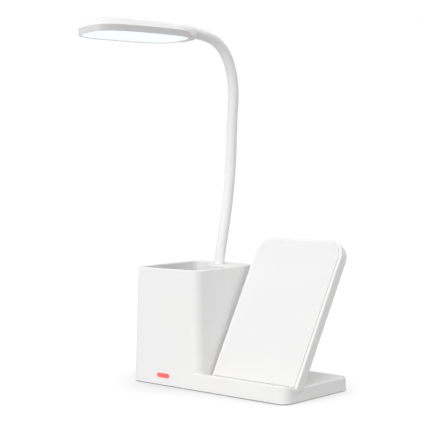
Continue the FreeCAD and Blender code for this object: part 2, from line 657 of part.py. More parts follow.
def charger_board():
    board = centred_box(CHARGER_BOARD, PLATE_MID, CHARGER_UP, -CAVITY_FLOOR + CHARGER_POST)
    board.Placement = plate_place()
    return board


def charger_components():
    top = -CAVITY_FLOOR + CHARGER_POST + CHARGER_BOARD[2]
    step_x = CHARGER_BOARD[0] / 6
    step_v = CHARGER_BOARD[1] / 7
    parts = [centred_box(CHARGER_CHIP, PLATE_MID - step_x, CHARGER_UP, top),
             centred_box(CHARGER_COIL, PLATE_MID + step_x, CHARGER_UP - step_v, top),
             centred_box(CHARGER_PART, PLATE_MID, CHARGER_UP + 2 * step_v, top),
             centred_box(CHARGER_PART, PLATE_MID + step_x, CHARGER_UP + step_v, top)]
    group = Part.makeCompound(parts)
    group.Placement = plate_place()
    return group


def plate_screws():
    size = (SCREW_R, PLATE_SCREW_L, SCREW_HEAD_R, SCREW_HEAD_H)
    return Part.makeCompound([screw(True, x, y, SLOT_UNDER, *size) for x, y in PLATE_SCREWS])


# ---- gooseneck ------------------------------------------------------------------------------------
def heading(angle):
    """Unit vector in the neck's plane, leaning back from upright by this angle."""
    lean = math.radians(angle)
    return Vector(0, math.sin(lean), math.cos(lean))


def travel(point, angle, length, turn):
    """End point and heading after an arc of this length and turn."""
    if abs(turn) < 1e-6:
        return point + heading(angle) * length, angle
    chord = length * math.sin(math.radians(turn / 2)) / math.radians(turn / 2)
    return point + heading(angle + turn / 2) * chord, angle + turn


def neck_stations():
    """Each span of the neck as (start, heading, length, turn): the root, then the links."""
    point = Vector(NECK_X, NECK_Y, RIM_Z)
    angle = 0.0
    spans = []
    lengths = [ROOT_L] + [LINK_L] * (len(LINK_TURNS) - 1) + [LAST_LINK_L]
    for length, turn in zip(lengths, (ROOT_TURN,) + LINK_TURNS):
        spans.append((point, angle, length, turn))
        point, angle = travel(point, angle, length, turn)
    return spans, point, angle


def bent_rod(radius, start, angle, length, turn):
    """A round bar along an arc in the neck's plane."""
    tangent = heading(angle)
    if abs(turn) < 1e-6:
        return rod(radius, length, start, tangent)
    bend_r = length / math.radians(abs(turn))
    side = Vector(0, tangent.z, -tangent.y) * (1 if turn > 0 else -1)
    centre = start + side * bend_r
    disc = Part.Face(Part.Wire(Part.makeCircle(radius, start, tangent)))
    return disc.revolve(centre, side.cross(tangent), -abs(turn))


def neck_tube(span, radius, bore):
    return bent_rod(radius, *span), bent_rod(bore, *span)


def ball(radius, centre):
    return Part.makeSphere(radius, centre)


def neck_sleeve(index):
    """One link of the soft sleeve: a socket at its start and a ball at its end, both round a bend."""
    spans, tip, _ = neck_stations()
    span = spans[index]
    end, end_angle = travel(*span)
    outer, bore = neck_tube(span, NECK_R, SLEEVE_BORE)
    last = index == len(spans) - 1
    if index == 0:
        foot = rod(NECK_R, SOCKET_DEPTH - FERRULE_SHOULDER, span[0], Vector(0, 0, -1))
        outer = outer.fuse(foot)
        bore = bore.fuse(rod(SLEEVE_BORE, SOCKET_DEPTH, span[0], Vector(0, 0, -1)))
    if last:
        tail = COLLAR_FACE_T - COLLAR_OVER
        outer = outer.fuse(rod(NECK_R, tail, tip, heading(end_angle)))
        bore = bore.fuse(rod(SLEEVE_BORE, tail + 1, tip, heading(end_angle)))
    else:
        outer = outer.fuse(ball(NECK_R, end))
        bore = bore.fuse(rod(SLEEVE_BORE, NECK_R + 1, end, heading(end_angle)))
    sleeve = outer.cut(bore)
    if index > 0:
        sleeve = sleeve.cut(ball(NECK_R + BEND_GAP, span[0]))
    return biggest(sleeve.removeSplitter())


def neck_hose(index):
    """One link of the steel hose inside the sleeve."""
    spans, tip, _ = neck_stations()
    span = spans[index]
    end, end_angle = travel(*span)
    outer, bore = neck_tube(span, HOSE_R, HOSE_BORE / 2)
    last = index == len(spans) - 1
    reach = COLLAR_FACE_T - COLLAR_OVER + FLANGE_T if last else math.sqrt(NECK_R ** 2 - HOSE_R ** 2)
    outer = outer.fuse(rod(HOSE_R, reach, end, heading(end_angle)))
    bore = bore.fuse(rod(HOSE_BORE / 2, reach + 1, end, heading(end_angle)))
    if index == 0:
        depth = COLUMN_TUBE_L + NUT_H
        outer = outer.fuse(rod(HOSE_R, depth, span[0], Vector(0, 0, -1)))
        bore = bore.fuse(rod(HOSE_BORE / 2, depth + 1, span[0], Vector(0, 0, -1)))
    hose = outer.cut(bore)
    if index > 0:
        hose = hose.cut(ball(NECK_R + BEND_GAP, span[0]))
    return biggest(hose.removeSplitter())


def biggest(shape):
    """The largest solid of a cut, so that the sliver behind a socket is left out."""
    return max(shape.Solids, key=lambda solid: solid.Volume)


def base_ferrule():
    """Threaded end fitting of the hose, its shoulder in the rim's counterbore."""
    seat = RIM_Z - SOCKET_DEPTH
    length = COLUMN_TUBE_L - SOCKET_DEPTH + WASHER_T + NUT_H + FERRULE_TAIL
    body = rod(FERRULE_R, length, Vector(NECK_X, NECK_Y, seat - length))
    shoulder = rod(NECK_R, FERRULE_SHOULDER, Vector(NECK_X, NECK_Y, seat))
    bore = rod(HOSE_R, length + FERRULE_SHOULDER + 2, Vector(NECK_X, NECK_Y, seat - length - 1))
    return body.fuse(shoulder).cut(bore).removeSplitter()


def ring(shape, radius, height, x, y, z):
    return shape.cut(rod(radius, height + 2, Vector(x, y, z - 1)))


def clamp_washer():
    z = RIM_Z - COLUMN_TUBE_L - WASHER_T
    return ring(rod(WASHER_R, WASHER_T, Vector(NECK_X, NECK_Y, z)), FERRULE_R, WASHER_T, NECK_X, NECK_Y, z)


def clamp_nut():
    z = RIM_Z - COLUMN_TUBE_L - WASHER_T - NUT_H
    nut = hex_prism(NUT_AF, NUT_H, Vector(NECK_X, NECK_Y, z))
    return ring(nut, FERRULE_R, NUT_H, NECK_X, NECK_Y, z)


# ---- lamp head ------------------------------------------------------------------------------------
def head_place():
    """The head's own frame: its rear end at the origin, the tip towards -Y, its underside at Z 0."""
    base = neck_stations()[1] - Vector(0, HEAD_AHEAD, HEAD_BELOW)
    return Placement(base, Rotation(X_AXIS, -HEAD_PITCH).multiply(Rotation(Y_AXIS, -HEAD_ROLL)))


def outline_wire(inset_w, inset_l, z):
    """The head's outline, a superellipse, drawn in from its sides and from its ends."""
    half_l = HEAD_L / 2 - inset_l
    half_w = HEAD_W / 2 - inset_w
    places = []
    for i in range(OUTLINE_POINTS):
        t = 2 * math.pi * (i + 0.5) / OUTLINE_POINTS
        c, s = math.cos(t), math.sin(t)
        places.append(Vector(math.copysign(abs(c) ** (2 / HEAD_POWER), c) * half_w,
                             math.copysign(abs(s) ** (2 / HEAD_POWER), s) * half_l - HEAD_L / 2, z))
    curve = Part.BSplineCurve()
    curve.interpolate(places, PeriodicFlag=True)
    return Part.Wire(curve.toShape())


def outline_solid(inset, z0, z1):
    return Part.Face(outline_wire(inset, inset, z0)).extrude(Vector(0, 0, z1 - z0))


def dome_solid(inset, height, z0):
    """A low dome over the outline: stacked outlines that rise along a parabola, flat at the top."""
    reach_w = (HEAD_W / 2 - inset) * DOME_SHARE_W
    reach_l = (HEAD_L / 2 - inset) * DOME_SHARE_L
    wires = [outline_wire(inset + reach_w * s, inset + reach_l * s, z0 + height * (1 - (1 - s) ** 2))
             for s in DOME_STEPS]
    return Part.makeLoft(wires, True)


def head_envelope(grow):
    return outline_solid(-grow, -1, BAND_H).fuse(dome_solid(-grow, DOME_H + grow, BAND_H))


def placed(shape):
    shape.Placement = head_place().multiply(shape.Placement)
    return shape


def head_band():
    """The band round the head's edge, with the ledge that the diffuser rests on."""
    band = outline_solid(0, 0, BAND_H).cut(outline_solid(BAND_T, -1, BAND_H + 1))
    ledge_z = DIFFUSER_SET_IN + DIFFUSER_T
    ledge = outline_solid(BAND_T / 2, ledge_z, ledge_z + LEDGE_T)
    ledge = ledge.cut(outline_solid(BAND_T + LEDGE_W, 0, BAND_H))
    return placed(band.fuse(ledge).removeSplitter())


def diffuser():
    return placed(outline_solid(BAND_T + DIFFUSER_GAP, DIFFUSER_SET_IN, DIFFUSER_SET_IN + DIFFUSER_T))


def head_screw_places():
    """Three along the head's middle line."""
    return [(0, -HEAD_L / 2 + i * HEAD_SCREW_SPAN / 2) for i in (-1, 0, 1)]


def head_shell():
    shell = dome_solid(0, DOME_H, BAND_H).cut(dome_solid(DOME_T, DOME_H - DOME_T, BAND_H - 0.01))
    for x, y in head_screw_places():
        top = BAND_H + DOME_H - DOME_T * HEAD_BOSS_SHARE
        foot = Vector(x, y, LED_BOARD_Z + LED_BOARD_T)
        shell = shell.fuse(rod(HEAD_BOSS_R, top - foot.z, foot))
        shell = shell.cut(rod(SMALL_SCREW_R + SCREW_GAP, HEAD_SCREW_L - LED_BOARD_T + TIP_GAP, foot))
    return placed(shell.removeSplitter())


def led_board():
    board = outline_solid(LED_BOARD_IN, LED_BOARD_Z, LED_BOARD_Z + LED_BOARD_T)
    for x, y in head_screw_places():
        board = board.cut(rod(SMALL_SCREW_R + SCREW_GAP, LED_BOARD_T + 2, Vector(x, y, LED_BOARD_Z - 1)))
    return placed(board)


def leds():
    z0 = LED_BOARD_Z - LED[2]
    chips = []
    for row in range(LED_ROWS):
        x = (row - (LED_ROWS - 1) / 2) * LED_ROW_GAP
        for i in range(LED_COLUMNS):
            y = -HEAD_L / 2 + (i - (LED_COLUMNS - 1) / 2) * LED_PITCH
            chips.append(centred_box(LED, x, y, z0))
    return placed(Part.makeCompound(chips))


def head_screws():
    """Small screws that hold the LED board up to the shell's bosses."""
    pieces = [screw(True, x, y, LED_BOARD_Z, SMALL_SCREW_R, HEAD_SCREW_L, SMALL_HEAD_R, SMALL_HEAD_H)
              for x, y in head_screw_places()]
    return placed(Part.makeCompound(pieces))


def collar_back():
    """The collar's rear face in the head's own frame, tied to the neck's end."""
    tip = neck_stations()[1]
    return head_place().inverse().multVec(tip).y + COLLAR_OVER


def head_collar():
    """The rounded cap that joins the head to the neck, open towards the head."""
    half = COLLAR_W / 2
    back = collar_back()
    block = box(-half, half, -COLLAR_FRONT, back, 0, COLLAR_TOP)
    rounded = [edge for edge in block.Edges if edge.BoundBox.YMax > back - 0.01]
    block = block.makeFillet(COLLAR_R, rounded)
    room = box(-half + COLLAR_T, half - COLLAR_T, -COLLAR_FRONT - 1, back - COLLAR_FACE_T,
               COLLAR_T, COLLAR_TOP - COLLAR_T)
    along = [edge for edge in room.Edges if edge.BoundBox.YMax - edge.BoundBox.YMin > 1]
    room = room.makeFillet(COLLAR_R - COLLAR_T, along)
    block = placed(block.cut(room).cut(head_envelope(COLLAR_GAP)))
    _, tip, angle = neck_stations()
    hole_start = tip - heading(angle) * (COLLAR_OVER + 2)
    hole = rod(NECK_R + NECK_FIT, COLLAR_FACE_T + 4, hole_start, heading(angle))
    return biggest(block.cut(hole).removeSplitter())


def head_ferrule():
    """Flanged end fitting of the hose inside the collar."""
    _, tip, angle = neck_stations()
    along = heading(angle)
    start = tip + along * (COLLAR_FACE_T - COLLAR_OVER)
    return rod(FLANGE_R, FLANGE_T, start, along).cut(rod(HOSE_R, FLANGE_T + 2, start - along, along))


# ---- write ----------------------------------------------------------------------------------------
def nodes():
    single = (base_housing, pen_cup, bottom_cover, rubber_feet, cover_screws, ballast_plate,
              control_board, board_components, board_screws, usb_c_socket,
              indicator_lens, indicator_leds, indicator_board, touch_foil,
              plate_housing, plate_face, charging_coil, ferrite_sheet, coil_pad,
              charger_board, charger_components, plate_screws,
              base_ferrule, clamp_washer, clamp_nut,
              head_band, diffuser, head_shell, led_board, leds, head_screws, head_collar, head_ferrule)
    made = {make.__name__: make() for make in single}
    for index in range(len(LINK_TURNS) + 1):
        made["neck_sleeve_%d" % index] = neck_sleeve(index)
        made["neck_hose_%d" % index] = neck_hose(index)
    return made


os.makedirs("parts", exist_ok=True)
for name, shape in nodes().items():
    shape.exportStep("parts/%s.step" % name)
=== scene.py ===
"""Looks of the gooseneck desk lamp with a pen pot and a charging plate, dressed over its CAD frame."""
import json
import math

import bmesh
import bpy
from mathutils import Matrix, Vector

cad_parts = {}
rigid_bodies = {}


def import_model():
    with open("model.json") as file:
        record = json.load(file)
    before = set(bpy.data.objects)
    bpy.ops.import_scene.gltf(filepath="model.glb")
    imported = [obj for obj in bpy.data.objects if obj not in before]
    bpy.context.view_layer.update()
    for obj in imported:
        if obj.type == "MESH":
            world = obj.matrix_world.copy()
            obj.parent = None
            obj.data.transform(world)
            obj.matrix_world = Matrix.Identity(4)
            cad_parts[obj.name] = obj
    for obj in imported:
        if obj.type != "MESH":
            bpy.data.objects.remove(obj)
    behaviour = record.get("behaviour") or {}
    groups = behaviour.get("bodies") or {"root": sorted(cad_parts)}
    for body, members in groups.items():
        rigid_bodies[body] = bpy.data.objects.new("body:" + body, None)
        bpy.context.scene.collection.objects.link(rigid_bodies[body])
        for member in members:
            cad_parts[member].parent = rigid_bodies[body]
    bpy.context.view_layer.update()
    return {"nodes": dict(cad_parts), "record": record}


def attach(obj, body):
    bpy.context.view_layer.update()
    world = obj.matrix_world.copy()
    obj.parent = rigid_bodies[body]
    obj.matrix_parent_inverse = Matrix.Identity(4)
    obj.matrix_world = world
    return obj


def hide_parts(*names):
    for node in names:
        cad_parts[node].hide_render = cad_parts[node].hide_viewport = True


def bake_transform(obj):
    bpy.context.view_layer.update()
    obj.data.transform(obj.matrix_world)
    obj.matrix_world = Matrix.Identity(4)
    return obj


for leftover in list(bpy.data.objects):
    bpy.data.objects.remove(leftover)
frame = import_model()
NODES = frame["nodes"]
MM = 0.001

# The gooseneck: each stretch is a circular arc of this length (mm) that turns by this much (degrees).
NECK_X = -38.6
NECK_FOOT = (20.4, 103.1)              # Y and Z where the neck leaves the rim
STRETCHES = ((8.0, 13.2), (35.0, 0.3), (35.0, -5.8), (35.0, -4.5), (35.0, 3.5), (35.0, -27.5), (35.0, -54.4),
             (27.2, -14.9))
SOCKET_DEPTH = 4.4                     # sleeve below the rim
COLLAR_DEPTH = 0.95                    # sleeve past the last stretch, inside the collar
HOSE_FOOT = 15.6                       # hose below the rim
HOSE_TIP = 3.4                         # hose past the last stretch
NECK_BODIES = ["base"] + ["neck_link_%d" % k for k in range(1, 7)] + ["head"]
JOINTS = len(NECK_BODIES) - 1
FIRST_REACH = 7.0                      # length of neck on either side of the first joint
REACH = 14.0                           # the same at the other joints
STRAIGHT = 1e-6                        # a turn below this many degrees is no turn

# The sleeve and the hose inside it. Radius, step, and the spiral groove's pitch and depth are in mm,
# and only the hose has a groove.
SLEEVE = {"radius": 4.75, "step": 1.0, "sides": 48, "pitch": 1.0, "depth": 0.0, "slot": "sleeve_rubber"}
HOSE = {"radius": 3.05, "step": 0.5, "sides": 24, "pitch": 2.0, "depth": 0.35, "slot": "hose_steel"}


# ---------------------------------------------------------------- node trees

class Graph:
    """Adds nodes to one tree: a value that is a socket is linked, any other value is set."""

    def __init__(self, tree):
        self.tree = tree

    def add(self, kind, values=None, **settings):
        node = self.tree.nodes.new(kind)
        for key, value in settings.items():
            setattr(node, key, value)
        for key, value in (values or {}).items():
            self.put(node.inputs[key], value)
        return node

    def put(self, socket, value):
        if isinstance(value, bpy.types.NodeSocket):
            self.tree.links.new(value, socket)
        else:
            socket.default_value = value

    def math(self, operation, a, b=0.0, clamp=False):
        node = self.add("ShaderNodeMath", operation=operation, use_clamp=clamp)
        self.put(node.inputs[0], a)
        self.put(node.inputs[1], b)
        return node.outputs[0]

    def vector(self, operation, a, b=(0.0, 0.0, 0.0), out="Vector"):
        node = self.add("ShaderNodeVectorMath", operation=operation)
        self.put(node.inputs[0], a)
        self.put(node.inputs[1], b)
        return node.outputs[out]

    def remap(self, value, low, high, to_low=0.0, to_high=1.0):
        return self.add("ShaderNodeMapRange", {"Value": value, "From Min": low, "From Max": high,
                                               "To Min": to_low, "To Max": to_high}).outputs["Result"]

    def tint(self, mask, low, high):
        node = self.add("ShaderNodeMix", data_type="RGBA")
        self.put(node.inputs[0], mask)
        self.put(node.inputs[6], low)
        self.put(node.inputs[7], high)
        return node.outputs[2]

    def noise(self, place, scale, detail=2.0, rough=0.5):
        return self.add("ShaderNodeTexNoise", {"Vector": place, "Scale": scale, "Detail": detail,
                                               "Roughness": rough}).outputs["Fac"]

    def cells(self, place, scale):
        return self.add("ShaderNodeTexVoronoi", {"Vector": place, "Scale": scale}).outputs["Distance"]


def node_group(kind, name, inputs, outputs):
    """A node group; returns its graph, the sockets its inputs come from and the sockets its outputs go to."""
    tree = bpy.data.node_groups.new(name, kind)
    for label, sort, value in inputs:
        socket = tree.interface.new_socket(label, in_out="INPUT", socket_type="NodeSocket" + sort)
        if value is not None:
            socket.default_value = value
    for label, sort in outputs:
        tree.interface.new_socket(label, in_out="OUTPUT", socket_type="NodeSocket" + sort)
    graph = Graph(tree)
    return graph, graph.add("NodeGroupInput").outputs, graph.add("NodeGroupOutput").inputs


def shader_group(name, inputs, outputs):
    """A shader node group that puts out masks, heights and drifts."""
    return node_group("ShaderNodeTree", name, inputs, [(label, "Float") for label in outputs])


def shape_group(name, inputs, output):
    """A geometry node group that puts out one shape."""
    return node_group("GeometryNodeTree", name, inputs, [(output, "Geometry")])


def make_moulded_grain():
    """Spark-eroded mould texture, with slow drifts of gloss and tint from the melt's flow."""
    inputs = [("Place", "Vector", None), ("Fineness", "Float", 2600.0), ("Drift Size", "Float", 28.0)]
    g, i, o = shader_group("moulded grain", inputs, ["Height", "Gloss Drift", "Tint Drift"])
    fine = g.noise(i["Place"], i["Fineness"], detail=3.0, rough=0.6)
    pits = g.cells(i["Place"], g.math("MULTIPLY", i["Fineness"], 0.7))
    g.put(o["Height"], g.math("ADD", g.math("MULTIPLY", fine, 0.7), g.math("MULTIPLY", pits, 0.3)))
    g.put(o["Gloss Drift"], g.remap(g.noise(i["Place"], i["Drift Size"], detail=3.0, rough=0.55), 0.3, 0.7))
    wide = g.vector("MULTIPLY", i["Place"], (1.0, 1.0, 0.45))
    slow = g.math("MULTIPLY", i["Drift Size"], 0.4)
    g.put(o["Tint Drift"], g.remap(g.noise(wide, slow, detail=2.0), 0.35, 0.65))
    return g.tree


def make_edge_wear():
    """Finds edges by how far a rounded normal turns from the true one, broken up by noise."""
    inputs = [("Place", "Vector", None), ("Reach", "Float", 0.0006), ("Patchiness", "Float", 0.5)]
    g, i, o = shader_group("edge wear", inputs, ["Mask"])
    soft = g.add("ShaderNodeBevel", {"Radius": i["Reach"]}, samples=4).outputs["Normal"]
    hard = g.add("ShaderNodeNewGeometry").outputs["Normal"]
    turn = g.math("SUBTRACT", 1.0, g.vector("DOT_PRODUCT", soft, hard, "Value"))
    edge = g.remap(turn, 0.01, 0.16)
    patch = g.remap(g.noise(i["Place"], 160.0, detail=4.0, rough=0.7), 0.35, 0.6)
    keep = g.math("SUBTRACT", 1.0, g.math("MULTIPLY", i["Patchiness"], g.math("SUBTRACT", 1.0, patch)))
    g.put(o["Mask"], g.math("MULTIPLY", edge, keep, clamp=True))
    return g.tree


def make_fine_dust():
    """Dust that settles where the surface faces up, thicker in drifts and speckled with lint."""
    g, i, o = shader_group("fine dust", [("Place", "Vector", None), ("Amount", "Float", 0.3)], ["Mask"])
    outward = g.add("ShaderNodeTexCoord").outputs["Normal"]
    up = g.add("ShaderNodeSeparateXYZ", {"Vector": outward}).outputs["Z"]
    lies = g.remap(up, 0.55, 0.98)
    drift = g.remap(g.noise(i["Place"], 55.0, detail=4.0, rough=0.6), 0.35, 0.75)
    lint = g.remap(g.cells(i["Place"], 420.0), 0.16, 0.05)
    film = g.math("ADD", g.math("MULTIPLY", drift, 0.6), g.math("MULTIPLY", lint, 0.5))
    g.put(o["Mask"], g.math("MULTIPLY", g.math("MULTIPLY", lies, film), i["Amount"], clamp=True))
    return g.tree


def make_handling():
    """Faint shiny patches where fingers have held the plastic."""
    g, i, o = shader_group("handling marks", [("Place", "Vector", None), ("Spread", "Float", 38.0)], ["Mask"])
    warp = g.add("ShaderNodeTexNoise", {"Vector": i["Place"], "Scale": 60.0, "Detail": 2.0}).outputs["Color"]
    moved = g.vector("ADD", i["Place"], g.vector("MULTIPLY", warp, (0.012, 0.012, 0.012)))
    print_shape = g.remap(g.cells(moved, i["Spread"]), 0.42, 0.18)
    ridges = g.remap(g.noise(moved, 1500.0, detail=1.0), 0.4, 0.6, to_low=0.55, to_high=1.0)
    rare = g.remap(g.noise(i["Place"], 17.0, detail=1.0), 0.5, 0.62)
    g.put(o["Mask"], g.math("MULTIPLY", g.math("MULTIPLY", print_shape, ridges), rare, clamp=True))
    return g.tree


def make_brushing():
    """Fine lines drawn out along one axis, as left by a tool or a roller."""
    inputs = [("Place", "Vector", None), ("Stretch", "Vector", (1.0, 1.0, 0.05)),
              ("Fineness", "Float", 4000.0)]
    g, i, o = shader_group("drawn lines", inputs, ["Height", "Gloss"])
    drawn = g.vector("MULTIPLY", i["Place"], i["Stretch"])
    lines = g.noise(drawn, i["Fineness"], detail=4.0, rough=0.7)
    g.put(o["Height"], lines)
    g.put(o["Gloss"], g.remap(g.noise(drawn, g.math("MULTIPLY", i["Fineness"], 0.15), detail=3.0), 0.3, 0.7))
    return g.tree


def make_speckle():
    """Small grains of two sizes, for sintered, foamed and printed surfaces."""
    inputs = [("Place", "Vector", None), ("Fineness", "Float", 1500.0)]
    g, i, o = shader_group("speckle", inputs, ["Grain", "Height"])
    coarse = g.cells(i["Place"], i["Fineness"])
    fine = g.noise(i["Place"], g.math("MULTIPLY", i["Fineness"], 2.2), detail=3.0, rough=0.7)
    g.put(o["Grain"], g.remap(fine, 0.35, 0.7))
    g.put(o["Height"], g.math("ADD", g.math("MULTIPLY", coarse, 0.6), g.math("MULTIPLY", fine, 0.4)))
    return g.tree


GRAIN = make_moulded_grain()
EDGES = make_edge_wear()
DUST = make_fine_dust()
HANDLING = make_handling()
LINES = make_brushing()
SPECKLE = make_speckle()


# ---------------------------------------------------------------- materials

WHITE = (0.88, 0.88, 0.88)
DUST_COLOUR = (0.72, 0.70, 0.67, 1.0)
PLASTIC_IOR = 1.46
CLEAR_PLASTIC_IOR = 1.49
SILICONE_IOR = 1.41
SATIN_LEVEL = 0.35                     # specular level of the matt plastics and the sleeve
TRACK_PITCH = 0.0012                   # grid that a circuit board's tracks keep to


class Finish:
    """A material under way: its graph, its Principled shader and the coordinates its patterns read."""

    def __init__(self, name, attribute=None, **constants):
        self.material = bpy.data.materials.new(name)
        self.material.use_nodes = True
        self.graph = Graph(self.material.node_tree)
        self.shader = self.material.node_tree.nodes["Principled BSDF"]
        for key, value in constants.items():
            self.shader.inputs[key.replace("_", " ")].default_value = value
        if attribute:
            source = self.graph.add("ShaderNodeAttribute", attribute_name=attribute)
            self.place = source.outputs["Vector"]
        else:
            self.place = self.graph.add("ShaderNodeTexCoord").outputs["Object"]

    def effect(self, group, **values):
        node = self.graph.add("ShaderNodeGroup", node_tree=group)
        self.graph.put(node.inputs["Place"], self.place)
        for key, value in values.items():
            self.graph.put(node.inputs[key.replace("_", " ")], value)
        return node.outputs

    def feed(self, socket, value):
        self.graph.put(self.shader.inputs[socket], value)

    def bump(self, height, distance):
        normal = self.graph.add("ShaderNodeBump", {"Height": height, "Distance": distance, "Strength": 1.0})
        self.feed("Normal", normal.outputs["Normal"])


def shade(colour, factor):
    return tuple(c * factor for c in colour[:3]) + (1.0,)


def moulded_plastic(name, colour, rough, fineness=2600.0, depth=6e-6, dust=0.12, warm=0.985):
    """Satin injection-moulded plastic."""
    f = Finish(name, IOR=PLASTIC_IOR, Specular_IOR_Level=SATIN_LEVEL)
    g = f.graph
    grain = f.effect(GRAIN, Fineness=fineness)
    edge = f.effect(EDGES)["Mask"]
    film = f.effect(DUST, Amount=dust)["Mask"]
    touched = f.effect(HANDLING)["Mask"]
    warmer = (colour[0], colour[1] * warm, colour[2] * (2 * warm - 1), 1.0)
    body = g.tint(g.math("MULTIPLY", grain["Tint Drift"], 0.5), shade(colour, 1.0), warmer)
    body = g.tint(g.math("MULTIPLY", edge, 0.35), body, shade(colour, 1.03))
    f.feed("Base Color", g.tint(film, body, DUST_COLOUR))
    value = g.math("ADD", rough - 0.04, g.math("MULTIPLY", grain["Gloss Drift"], 0.08))
    value = g.math("SUBTRACT", value, g.math("MULTIPLY", edge, 0.10))
    value = g.math("SUBTRACT", value, g.math("MULTIPLY", touched, 0.06))
    f.feed("Roughness", g.math("ADD", value, g.math("MULTIPLY", film, 0.5), clamp=True))
    f.bump(grain["Height"], distance=depth)
    return f.material


def soft_sleeve(name, colour):
    """Soft-touch silicone sleeve: matte, with drawn lines along it and a fine bloom."""
    f = Finish(name, "straight_place", IOR=SILICONE_IOR, Specular_IOR_Level=SATIN_LEVEL)
    g = f.graph
    lines = f.effect(LINES, Stretch=(1.0, 1.0, 0.12), Fineness=1800.0)
    grain = f.effect(GRAIN, Fineness=3200.0, Drift_Size=22.0)
    touched = f.effect(HANDLING, Spread=30.0)["Mask"]
    f.feed("Base Color", g.tint(grain["Tint Drift"], shade(colour, 1.0), shade(colour, 0.975)))
    value = g.math("ADD", 0.42, g.math("MULTIPLY", grain["Gloss Drift"], 0.09))
    f.feed("Roughness", g.math("SUBTRACT", value, g.math("MULTIPLY", touched, 0.08), clamp=True))
    mixed = g.math("ADD", g.math("MULTIPLY", lines["Height"], 0.5), g.math("MULTIPLY", grain["Height"], 0.5))
    f.bump(mixed, distance=5e-6)
    return f.material


def drawn_metal(name, colour, rough, stretch=(1.0, 1.0, 0.05), attribute=None):
    """Turned, rolled or wound metal with fine tool lines and duller, darker patches."""
    f = Finish(name, attribute, Metallic=1.0)
    g = f.graph
    lines = f.effect(LINES, Stretch=stretch)
    edge = f.effect(EDGES, Reach=0.0003, Patchiness=0.3)["Mask"]
    spots = g.remap(g.noise(f.place, 260.0, detail=5.0, rough=0.7), 0.45, 0.7)
    body = g.tint(g.math("MULTIPLY", spots, 0.4), shade(colour, 1.0), shade(colour, 0.72))
    f.feed("Base Color", g.tint(g.math("MULTIPLY", edge, 0.5), body, shade(colour, 1.25)))
    value = g.math("ADD", rough, g.math("MULTIPLY", lines["Gloss"], 0.12))
    value = g.math("SUBTRACT", value, g.math("MULTIPLY", edge, 0.1))
    f.feed("Roughness", g.math("ADD", value, g.math("MULTIPLY", spots, 0.12), clamp=True))
    f.bump(lines["Height"], distance=4e-6)
    return f.material


def enamelled_wire(name, colour):
    """Copper under clear enamel, with slightly uneven lacquer."""
    f = Finish(name, Metallic=1.0, Coat_Roughness=0.08)
    g = f.graph
    spots = g.remap(g.noise(f.place, 700.0, detail=4.0, rough=0.6), 0.35, 0.7)
    f.feed("Base Color", g.tint(spots, shade(colour, 1.0), shade(colour, 0.78)))
    f.feed("Roughness", g.remap(spots, 0.0, 1.0, to_low=0.24, to_high=0.38))
    f.feed("Coat Weight", g.remap(g.noise(f.place, 120.0, detail=2.0), 0.3, 0.7, to_low=0.5, to_high=0.9))
    f.bump(g.noise(f.place, 3000.0, detail=2.0), distance=3e-6)
    return f.material


def printed_board(name, mask_colour, trace_colour):
    """Circuit board: solder mask with paler runs of track under it and the weave showing faintly."""
    f = Finish(name)
    g = f.graph
    steps = g.vector("SNAP", f.place, (TRACK_PITCH,) * 3)
    ways = g.noise(steps, 190.0, detail=1.0)
    tracks = g.math("MULTIPLY", g.math("GREATER_THAN", ways, 0.5), g.math("LESS_THAN", ways, 0.58))
    weave = f.effect(SPECKLE, Fineness=2200.0)
    body = g.tint(tracks, shade(mask_colour, 1.0), shade(trace_colour, 1.0))
    f.feed("Base Color", g.tint(g.math("MULTIPLY", weave["Grain"], 0.2), body, shade(mask_colour, 0.7)))
    f.feed("Roughness", g.remap(weave["Grain"], 0.0, 1.0, to_low=0.28, to_high=0.42))
    relief = g.math("ADD", g.math("MULTIPLY", tracks, 0.8), g.math("MULTIPLY", weave["Height"], 0.3))
    f.bump(relief, distance=1.5e-5)
    return f.material


def granular(name, colour, rough, fineness, depth, low=0.6):
    """Sintered, foamed or filled material with two sizes of grain."""
    f = Finish(name)
    g = f.graph
    grains = f.effect(SPECKLE, Fineness=fineness)
    edge = f.effect(EDGES, Reach=0.0004)["Mask"]
    body = g.tint(grains["Grain"], shade(colour, low), shade(colour, 1.0))
    f.feed("Base Color", g.tint(g.math("MULTIPLY", edge, 0.4), body, shade(colour, 1.35)))
    f.feed("Roughness", g.remap(grains["Grain"], 0.0, 1.0, to_low=rough, to_high=rough + 0.12))
    f.bump(grains["Height"], distance=depth)
    return f.material


def clear_tinted(name, colour, glow, strength, rough=0.3):
    """Translucent tinted plastic with a painted glow: an emission that stands in for light shining through it
    from behind.
    """
    # The emission is a painted glow.
    f = Finish(name, IOR=CLEAR_PLASTIC_IOR, Emission_Strength=strength)
    g = f.graph
    cloud = g.remap(g.noise(f.place, 320.0, detail=3.0), 0.3, 0.7)
    grain = f.effect(GRAIN, Fineness=3600.0)
    f.feed("Base Color", g.tint(cloud, shade(colour, 1.0), shade(colour, 0.92)))
    f.feed("Roughness", g.remap(grain["Gloss Drift"], 0.0, 1.0, to_low=rough, to_high=rough + 0.08))
    f.feed("Emission Color", g.tint(cloud, shade(glow, 1.0), shade(glow, 0.9)))
    f.bump(grain["Height"], distance=3e-6)
    return f.material


def led_phosphor(name, colour):
    """Silicone filled with phosphor, grainy and faintly translucent."""
    f = Finish(name, IOR=SILICONE_IOR)
    g = f.graph
    grains = f.effect(SPECKLE, Fineness=5200.0)
    f.feed("Base Color", g.tint(grains["Grain"], shade(colour, 0.85), shade(colour, 1.0)))
    f.feed("Roughness", g.remap(grains["Grain"], 0.0, 1.0, to_low=0.35, to_high=0.5))
    f.bump(grains["Height"], distance=4e-6)
    return f.material


